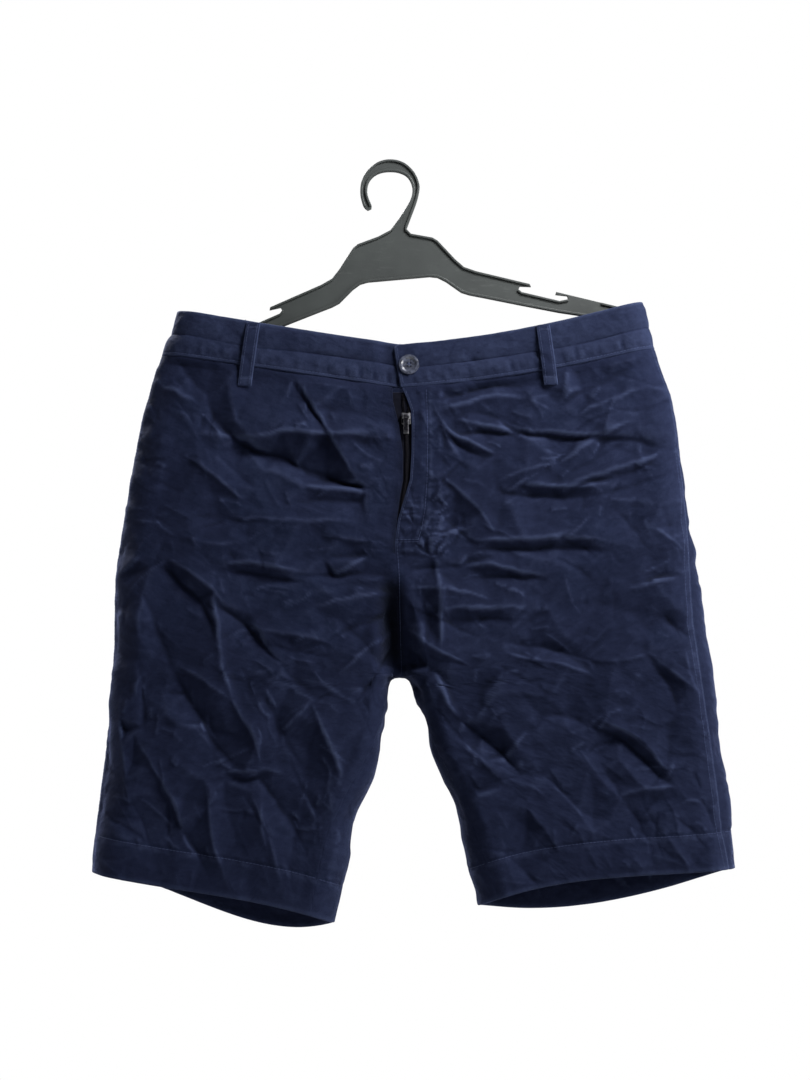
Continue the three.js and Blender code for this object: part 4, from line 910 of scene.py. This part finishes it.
LOOP_WIDTH = 11.4
LOOP_PROUD = 2.4
LOOP_THICK = 1.2
LOOPS = [
    ("belt_loop_front_right", "right", False, -120.5, -127.8, 19, 64),
    ("belt_loop_front_left", "left", False, 138, 144.8, 15, 61),
    ("belt_loop_back_right", "right", True, -106, -111, 12, 57),
    ("belt_loop_back_left", "left", True, 136, 140, 12, 57),
    ("belt_loop_back_centre", "left", True, 16, 16, 12, 57),
]


def at_x(side, back, row, x):
    ends = row_ends(side, np.full(np.shape(row), back), row)
    return place(side, np.full(np.shape(row), back), row, ends, (x - ends[2]) / (ends[0] - ends[2]))


def row_at(side, back, x, z):
    low, high = np.full(np.shape(x), -1.0), np.full(np.shape(x), 2.0)
    for _ in range(40):
        middle = (low + high) / 2
        above = at_x(side, back, middle, x)[..., 2] > z
        low, high = np.where(above, middle, low), np.where(above, high, middle)
    return (low + high) / 2


def outer_spot(side, back, x, z):
    row = row_at(side, back, x, z)
    point = at_x(side, back, row, x)
    across = at_x(side, back, row, x + 1) - at_x(side, back, row, x - 1)
    normal = unit(np.cross(across, at_x(side, back, row + 0.01, x) - at_x(side, back, row - 0.01, x)))
    wrong = (normal[..., 1] > 0) != back
    return point, np.where(wrong[..., None], -normal, normal), row


for name, side, back, top, bottom, below, cut_length in LOOPS:
    top_z = float(at_x(side, back, np.array(-0.99), np.array(float(top)))[2])
    bottom_z = float(at_x(side, back, np.array(0.0), np.array(float(bottom)))[2]) - below
    down, across = np.meshgrid(np.linspace(0, 1, 49), np.linspace(-0.5, 0.5, 15), indexing="ij")
    x = top + (bottom - top) * down + across * LOOP_WIDTH
    point, normal, row = outer_spot(side, back, x, top_z + (bottom_z - top_z) * down)
    half = BAND_OUT + (CLOTH_OUT - BAND_OUT) * smooth((row + 0.005) / 0.03)
    proud = LOOP_PROUD * np.sin(math.pi * np.minimum(down * 1.04, 1)) ** 0.8
    lift = half + 0.4 + LOOP_THICK / 2 + proud
    v, u = down * 48, (across + 0.5) * LOOP_WIDTH
    shape = 0.35 * np.sin(2 * math.pi * (v / 9 + 0.5 * drift(v / 14, u / 8, len(name)))) * smooth((v - 4) / 6)
    shape = shape * np.abs(across * 2) ** 2 + 0.4 * (1 - (across * 2) ** 4) + 0.5 * np.exp(-((v - 44) ** 2) / 6)
    shape += 0.3 * crumple(u / 7, v / 5, len(name) + 2) * smooth((v - 4) / 6)
    shape -= 0.4 * np.exp(-((v - 4.5) ** 2) / 2) + 0.5 * np.exp(-((v - 41) ** 2) / 2)
    middle = point + normal * (lift + shape * 0.6)[..., None]
    facing = grid_normals(middle, normal)
    wear = 0.6 * smooth((np.abs(across) * 2 - 0.8) / 0.2) + 0.6 * np.exp(-((v - 44) ** 2) / 6) + 0.15
    strip = shell(name + "_cloth", middle + facing * LOOP_THICK / 2, middle - facing * LOOP_THICK / 2,
                  np.stack([u, v], -1), wear)
    strip.data.materials.append(NAVY)
    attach(strip, "shorts")
    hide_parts(name)
    lines = {"out": middle + facing * LOOP_THICK / 2, "normal": facing, "edge": u}
    seams = [line_beside(lines, "edge", far, slice(1, -1)) for far in (1.9, LOOP_WIDTH - 1.9)]
    tack = lambda i: (lines["out"][i, 1:-1], facing[i, 1:-1])
    sewing = sew(name + "_stitching", seams, NAVY_THREAD, stitch=2.8)
    bars = sew(name + "_tacks", [tack(3), tack(4), tack(42), tack(43)], NAVY_THREAD, stitch=1.1, thick=0.6)
    "waistband_" + side + "_cloth"


# Fly
# Behind the gap between the two fronts lie the facing of the twill and, over it, the zip: a woven tape
# with two rows of metal teeth, closed below the slider, tape and teeth coloured near black as painted
# shade in the gap. The slider and its pull tab are worn nickel, dark in the body as painted shade, with
# pale rims that are painted highlight and rubbed wear.

TAPE = {"from": -5, "to": 34, "top": -207, "bottom": -334, "thick": 1.0}
FACING = {"from": -14, "to": 42, "top": -207, "bottom": -344, "thick": 1.3}
TAPE_INSET = CLOTH_OUT + 0.5 + TAPE["thick"] / 2
FACING_INSET = TAPE_INSET + TAPE["thick"] / 2 + 0.3 + FACING["thick"] / 2


def strip_behind(name, size, inset, waves):
    z, x = np.meshgrid(np.linspace(size["top"], size["bottom"], 60), np.linspace(size["from"], size["to"], 24), indexing="ij")
    out = read(DEPTH, z, "front") - inset + waves * drift(x / 12, z / 17, len(name))
    middle = np.stack([x, -out, z], -1)
    normal = np.zeros(middle.shape)
    normal[..., 1] = -1
    u, v = runs(middle)
    offset = normal * size["thick"] / 2
    piece = shell(name, middle + offset, middle - offset, np.stack([u, v], -1), np.zeros(u.shape))
    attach(piece, "shorts")
    return piece


zip_cloth = strip_behind("zip_tape_cloth", TAPE, TAPE_INSET, 0)
# The tape is coloured near black: painted shade down in the fly gap
SHADED_ZIP_WEAVE = twill("zip_weave_painted_shade", shade(3, 4, 9), shade(7, 8, 16), shade(16, 18, 30), rib=0.0014)
zip_cloth.data.materials.append(SHADED_ZIP_WEAVE)
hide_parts("zip_tape")
fly_cloth = strip_behind("fly_facing_cloth", FACING, FACING_INSET + 0.2, 0.2)
fly_cloth.data.materials.append(NAVY)
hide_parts("fly_shield")

# Centre line of the closed zip, level by level, and the spread of its two rows above the slider
ZIP_LINE = {"at": [-207, -231, -262, -286, -303, -332], "x": [16.4, 15.8, 16.8, 16.2, 13.4, 9.5]}
TOOTH = (2.3, 1.1, 0.75)
TOOTH_PITCH = 1.5

bpy.ops.mesh.primitive_cube_add(size=1)
bpy.ops.object.mode_set(mode="EDIT")
bpy.ops.mesh.select_all(action="SELECT")
bpy.ops.mesh.bevel(offset=0.14, segments=1, affect="EDGES")
bpy.ops.object.mode_set(mode="OBJECT")
one_tooth = bpy.context.object
TOOTH_POINTS = np.array([v.co for v in one_tooth.data.vertices]) * TOOTH
TOOTH_FACES = [list(p.vertices) for p in one_tooth.data.polygons]
bpy.data.objects.remove(one_tooth)


def nickel(name, colour, shaded_body, rough):
    finish = Finish(name, Metallic=1.0, Roughness=rough)
    place_on = finish.node("TexCoord", out=3)
    rub = finish.node("TexNoise", Vector=place_on, Scale=700.0, Detail=3.0)
    patch = finish.node("TexNoise", Vector=place_on, Scale=160.0, Detail=2.0)
    soft = finish.node("Bevel", {"samples": 6}, Radius=0.0004)
    level = finish.node("VectorMath", {"operation": "DOT_PRODUCT"}, 1, i0=soft, i1=finish.node("NewGeometry", out=1))
    # Paler at the rims found from the bevelled normal: painted highlight with rubbed wear there, and the darker body
    # colour elsewhere, painted shade
    edge = ((1 - level) * 9).clipped()
    finish.to(Base_Color=finish.mix((edge + patch * 0.5 - 0.2).clipped(), shaded_body, colour), Roughness=rough + rub * 0.2,
              Normal=finish.node("Bump", Height=rub + patch, Strength=0.3, Distance=0.00008, Normal=soft))
    return finish.material


# Slider and pull: a dark body as painted shade, and pale rims as painted highlight with rubbed wear
NICKEL = nickel("worn_nickel_painted_light", shade(150, 150, 156), shade(22, 22, 27), 0.38)
# Zip teeth: near-black nickel, painted shade down in the fly gap
SHADED_NICKEL = nickel("nickel_painted_shade", shade(34, 33, 38), shade(14, 14, 18), 0.5)

points, faces, total = [], [], 0
for k, z in enumerate(np.arange(-209, -331, -TOOTH_PITCH / 2)):
    hand = 1 if k % 2 else -1
    open_by = 0.55 + 2.4 * float(smooth((z + 231) / 14))
    centre = np.array([read(ZIP_LINE, z, "x") + hand * open_by, -(read(DEPTH, z, "front") - TAPE_INSET + 1.0), z])
    points.append(centre + TOOTH_POINTS)
    faces += [[total + f for f in face] for face in TOOTH_FACES]
    total += len(TOOTH_POINTS)
teeth_mesh = bpy.data.meshes.new("zip_teeth")
teeth_mesh.from_pydata((np.concatenate(points) * MM).tolist(), [], faces)
teeth_mesh.materials.append(SHADED_NICKEL)
teeth = bpy.data.objects.new("zip_teeth", teeth_mesh)
bpy.context.collection.objects.link(teeth)
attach(teeth, "shorts")

for name in ("zip_slider", "zip_pull"):
    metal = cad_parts[name]
    metal.data.materials.clear()
    metal.data.materials.append(NICKEL)


# Button
# A turned resin button of dark grey-blue, with a raised rim round a shallow well and four holes, sewn on
# near the left band's end with crossed thread.

BUTTON_RADIUS = 8.9
BUTTON_RIM = 3.2
BUTTON_WELL = 1.9
BUTTON_HOLE = 0.95
BUTTON_SPREAD = 2
spot, button_way, _ = outer_spot("left", False, np.array(18.4), np.array(-181.8))
button_at = spot + button_way * (BAND_OUT - 0.05 + 0.6)
turn = Vector((0, 0, 1)).rotation_difference(Vector(button_way))

bpy.ops.mesh.primitive_cylinder_add(vertices=72, radius=BUTTON_RADIUS, depth=BUTTON_RIM, location=(0, 0, BUTTON_RIM / 2))
button = bpy.context.object
button.name = button.data.name = "button_turned"
bpy.ops.object.mode_set(mode="EDIT")
bpy.ops.mesh.select_all(action="DESELECT")
bpy.ops.object.mode_set(mode="OBJECT")
for face in button.data.polygons:
    face.select = face.normal.z > 0.9
bpy.ops.object.mode_set(mode="EDIT")
bpy.ops.mesh.inset(thickness=1.9)
bpy.ops.mesh.inset(thickness=1.6, depth=-(BUTTON_RIM - BUTTON_WELL))
bpy.ops.mesh.inset(thickness=2.2, depth=-0.12)
bpy.ops.mesh.select_all(action="DESELECT")
bpy.ops.object.mode_set(mode="OBJECT")
BUTTON_HOLES = [(a * BUTTON_SPREAD / math.sqrt(2), b * BUTTON_SPREAD / math.sqrt(2)) for a in (-1, 1) for b in (-1, 1)]
for x, y in BUTTON_HOLES:
    bpy.ops.mesh.primitive_cylinder_add(vertices=24, radius=BUTTON_HOLE, depth=12, location=(x, y, 0))
    drill = bpy.context.object
    bpy.ops.object.select_all(action="DESELECT")
    button.select_set(True)
    bpy.context.view_layer.objects.active = button
    cut = button.modifiers.new("hole", "BOOLEAN")
    cut.object, cut.operation, cut.solver = drill, "DIFFERENCE", "EXACT"
    bpy.ops.object.modifier_apply(modifier="hole")
    bpy.data.objects.remove(drill)
soft_edge = button.modifiers.new("edge", "BEVEL")
soft_edge.width, soft_edge.segments, soft_edge.limit_method, soft_edge.angle_limit = 0.45, 3, "ANGLE", math.radians(35)
bpy.ops.object.modifier_apply(modifier="edge")
bpy.ops.object.shade_smooth_by_angle(angle=math.radians(40))


# A piece made about its own middle is turned and set in place, in its mesh
def set_down(piece, at, turn):
    piece.location = (0, 0, 0)
    for vertex in piece.data.vertices:
        vertex.co = (Vector(at) + turn @ vertex.co) * MM
    piece.data.update()


set_down(button, button_at, turn)
resin = Finish("grey_blue_resin", Roughness=0.2, Specular_IOR_Level=0.6)
coordinates = resin.node("TexCoord", out=3)
cloud = resin.node("TexNoise", Vector=coordinates, Scale=320.0, Detail=4.0, Distortion=1.5)
scratch = resin.node("TexNoise", Vector=coordinates, Scale=2600.0, Detail=2.0)
resin.to(Base_Color=resin.mix((cloud * 2.4 - 0.75).clipped(), shade(24, 26, 36), shade(66, 70, 84)),
         Roughness=0.16 + scratch * 0.22,
         Normal=resin.node("Bump", Height=scratch, Strength=0.25, Distance=0.00005))
button.data.materials.clear()
button.data.materials.append(resin.material)
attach(button, "shorts")
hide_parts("button")

# Four strands cross the well from hole to hole
strands = []
for a, b in ((0, 3), (1, 2)):
    for shift in (-0.22, 0.22):
        ends = np.array([BUTTON_HOLES[a], BUTTON_HOLES[b]]) + shift
        mid = ends.mean(0)
        run = np.array([[*ends[0], BUTTON_WELL - 0.7], [*ends[0] * 0.86, BUTTON_WELL + 0.12], [*mid, BUTTON_WELL + 0.4],
                        [*ends[1] * 0.86, BUTTON_WELL + 0.12], [*ends[1], BUTTON_WELL - 0.7]])
        way = np.array([list(Vector(button_at) + turn @ Vector(p)) for p in run])
        strands.append((way, np.repeat(np.array([button_way]), len(way), 0)))
sew("button_thread", strands, NAVY_THREAD, stitch=1.0, thick=0.5, sunk=0)


# Hanger
# One flat moulding of dark grey plastic: a hook, sloping arms with two strap notches in each, and a
# raised rim round its outline. It has a fine satin skin, a little scuffed.

HANGER_TILT = math.radians(5.2)
HANGER_PLATE, HANGER_THICK, HANGER_RIM = 3.0, 6.0, 1.9
HOOK_OUTER = [(-18.8, -36.3), (-22, -33.6), (-24.2, -28.2), (-25.7, -20), (-24.8, -10), (-20.4, -0.6), (-12, 7.4),
              (-4.5, 10.6), (2.4, 11.2), (9, 10.2), (16.2, 6.8), (23.4, -0.6), (27.4, -9.4), (28.1, -16.4), (25.6, -28),
              (20, -43.5), (16.4, -53.5)]
HOOK_INNER = [(1.6, -54.6), (10.4, -42.4), (17.6, -30.6), (20.8, -23.2), (21.6, -16), (19.6, -9), (15.2, -3.6), (8, -0.6),
              (0, 0), (-7.4, -1.2), (-13.6, -4.6), (-18, -10.6), (-19.3, -18.4), (-17.8, -25.6), (-15.4, -31.4),
              (-15.6, -34.8)]
ARM_TOP = [(15, 59.5), (34, 64.8), (38.5, 68), (53, 87), (60, 94.5), (70, 99.2), (117.5, 115.5), (118.4, 118.2),
           (108.2, 116.8), (107, 119.4), (109.6, 122.2), (142.6, 133.4), (150.4, 132.6), (150, 129.6), (139.4, 127.4),
           (140.4, 124.8), (180, 138.4), (207, 147.6), (213.6, 151), (215.2, 155)]
ARM_BOTTOM = [(211.6, 160), (204, 159.6), (141, 144), (105.5, 133.6), (75, 124.4), (62, 120.6), (55, 117.6), (42, 106.4),
              (35, 102), (28, 100.6)]


def tilted(out, down):
    c, s = math.cos(HANGER_TILT), math.sin(HANGER_TILT)
    return (out * c + down * s, out * s - down * c)


# The hook's points are joined by a smooth curve, four steps to each
def curved(points, steps=4):
    p = np.array(points, float)
    p = np.concatenate([[2 * p[0] - p[1]], p, [2 * p[-1] - p[-2]]])
    out = []
    for a, b, c, d in zip(p, p[1:], p[2:], p[3:]):
        for t in np.arange(steps) / steps:
            out.append(0.5 * (2 * b + (c - a) * t + (2 * a - 5 * b + 4 * c - d) * t**2 + (3 * b - a - 3 * c + d) * t**3))
    return out + [p[-2]]


arm_top = [tilted(*p) for p in ARM_TOP]
arm_bottom = [tilted(*p) for p in ARM_BOTTOM]
other_bottom = [tilted(-out, down) for out, down in reversed(ARM_BOTTOM)]
other_top = [tilted(-out, down) for out, down in reversed(ARM_TOP)]

# A flat part of the moulding from its outline, with rounded edges
def moulded(points, thick):
    bpy.ops.object.select_all(action="DESELECT")
    bpy.ops.mesh.primitive_circle_add(vertices=len(points), radius=10, fill_type="NGON")
    part = bpy.context.object
    for vertex, (x, z) in zip(part.data.vertices, points):
        vertex.co = (x * MM, -thick / 2 * MM, z * MM)
    bpy.ops.object.mode_set(mode="EDIT")
    bpy.ops.mesh.select_all(action="SELECT")
    bpy.ops.mesh.extrude_region_move(TRANSFORM_OT_translate={"value": (0, thick * MM, 0)})
    bpy.ops.mesh.select_all(action="SELECT")
    bpy.ops.mesh.normals_make_consistent(inside=False)
    bpy.ops.mesh.select_all(action="DESELECT")
    bpy.ops.object.mode_set(mode="OBJECT")
    edge = part.modifiers.new("edge", "BEVEL")
    edge.width, edge.segments, edge.limit_method, edge.angle_limit = 0.0004, 2, "ANGLE", math.radians(60)
    bpy.ops.object.modifier_apply(modifier="edge")
    return part


# A raised rib along part of the outline, a little in from it
def rib_along(points):
    p = np.array(points, float)
    before, after = p[np.maximum(np.arange(len(p)) - 1, 0)], p[np.minimum(np.arange(len(p)) + 1, len(p) - 1)]
    way = unit(after - before)
    moved = lambda inset: np.stack([p[:, 0] + way[:, 1] * inset, p[:, 1] - way[:, 0] * inset], -1)
    return moulded([*moved(RIB_INSET), *moved(RIB_INSET + HANGER_RIM)[::-1]], HANGER_THICK)


RIB_INSET = 0.25
hook_outer, hook_inner = curved(HOOK_OUTER), curved(HOOK_INNER)
parts = [
    moulded([*hook_outer, *arm_top, *arm_bottom, *other_bottom, *other_top, *hook_inner], HANGER_PLATE),
    rib_along([*hook_outer[4:], *arm_top[:7]]),
    rib_along(hook_inner[:-3]),
    rib_along(arm_top[9:13]),
    rib_along([*arm_top[16:], *arm_bottom, *other_bottom, *other_top[:4]]),
    rib_along(other_top[7:11]),
    rib_along([*other_top[13:], hook_inner[0]]),
]
bpy.ops.object.select_all(action="DESELECT")
for part in parts:
    part.select_set(True)
hanger = parts[0]
bpy.context.view_layer.objects.active = hanger
bpy.ops.object.join()
hanger.name = hanger.data.name = "hanger_moulding"
bpy.ops.object.shade_smooth_by_angle(angle=math.radians(32))
hanger.modifiers.new("flat_faces", "WEIGHTED_NORMAL").keep_sharp = True
bpy.ops.object.modifier_apply(modifier="flat_faces")

plastic = Finish("satin_plastic", Roughness=0.42, Specular_IOR_Level=0.45)
coordinates = plastic.node("TexCoord", out=3)
grain = plastic.node("TexNoise", Vector=coordinates, Scale=1500.0, Detail=2.0)
flow = plastic.node("TexNoise", Vector=coordinates, Scale=26.0, Detail=3.0)
scuff = plastic.node("TexNoise", Vector=plastic.node("Mapping", Vector=coordinates, Scale=(60.0, 60.0, 420.0)), Scale=1.0,
                     Detail=5.0, Roughness=0.7)
scuffed = ((scuff - 0.58) * 6).clipped()
plastic.to(Base_Color=plastic.mix((flow * 0.9 - 0.1 + scuffed * 0.5).clipped(), shade(32, 35, 35), shade(51, 55, 54)),
           Roughness=0.38 + grain * 0.12 + scuffed * 0.15,
           Normal=plastic.node("Bump", Height=grain * 0.6 + flow, Strength=0.25, Distance=0.0002))
hanger.data.materials.clear()
hanger.data.materials.append(plastic.material)
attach(hanger, "shorts")
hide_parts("hanger")


# Studio
# A pale floor well below the hems, under the main picture. Soft light from the front, above and to the
# right, and the camera two metres in front of the shorts, a little below their middle.

FLOOR_Z = -1.35
bpy.ops.mesh.primitive_circle_add(vertices=96, radius=2.2, fill_type="NGON", location=(0, 0, FLOOR_Z))
floor = bpy.context.object
floor.name = "studio_floor"
paper = Finish("pale_paper", Roughness=0.9)
mottle = paper.node("TexNoise", Vector=paper.node("TexCoord", out=3), Scale=3.0, Detail=2.0)
paper.to(Base_Color=paper.mix(mottle, (0.78, 0.78, 0.78, 1), (0.84, 0.84, 0.84, 1)))
floor.data.materials.append(paper.material)

world = bpy.data.worlds.new("studio")
world.use_nodes = True
SURROUND, BACKGROUND = 0.11, 1.0
nodes, links = world.node_tree.nodes, world.node_tree.links
seen, level = nodes.new("ShaderNodeLightPath"), nodes.new("ShaderNodeMapRange")
level.inputs["To Min"].default_value, level.inputs["To Max"].default_value = SURROUND, BACKGROUND
links.new(seen.outputs["Is Camera Ray"], level.inputs["Value"])
links.new(level.outputs["Result"], nodes["Background"].inputs["Strength"])
nodes["Background"].inputs["Color"].default_value = (1, 1, 1, 1)
bpy.context.scene.world = world
LAMPS = [
    ("key", (0.56, -0.48, 0.5), (0.05, 0, -0.36), 0.35, 33.0),
    ("back", (-0.7, 0.6, 0.85), (0.02, 0, -0.4), 0.3, 66.0),
    ("right_edge", (1.25, -0.3, -0.25), (0.2, 0, -0.4), 0.6, 26.0),
    ("left_edge", (-1.5, 0.1, -0.3), (-0.2, 0, -0.4), 0.6, 12.0),
]
for name, at, aim, size, power in LAMPS:
    light = bpy.data.lights.new(name, "AREA")
    light.size, light.energy = size, power
    lamp = bpy.data.objects.new(name, light)
    lamp.location = at
    lamp.rotation_euler = (Vector(aim) - Vector(at)).to_track_quat("-Z", "Y").to_euler()
    bpy.context.collection.objects.link(lamp)

LOOKS_UP = 7.0
VIEW_HEIGHT = 0.9612
TARGET = Vector((0.0149, 0, -0.3369))
FAR = 2.0
camera_data = bpy.data.cameras.new("camera")
camera_data.sensor_fit, camera_data.sensor_height = "VERTICAL", 36
camera_data.lens = 36 * FAR / VIEW_HEIGHT
camera = bpy.data.objects.new("camera", camera_data)
tip = math.radians(LOOKS_UP)
camera.location = TARGET - Vector((0, math.cos(tip), math.sin(tip))) * FAR
camera.rotation_euler = (math.pi / 2 + tip, 0, 0)
bpy.context.collection.objects.link(camera)
bpy.context.scene.camera = camera
bpy.context.scene.view_settings.view_transform = "Standard"
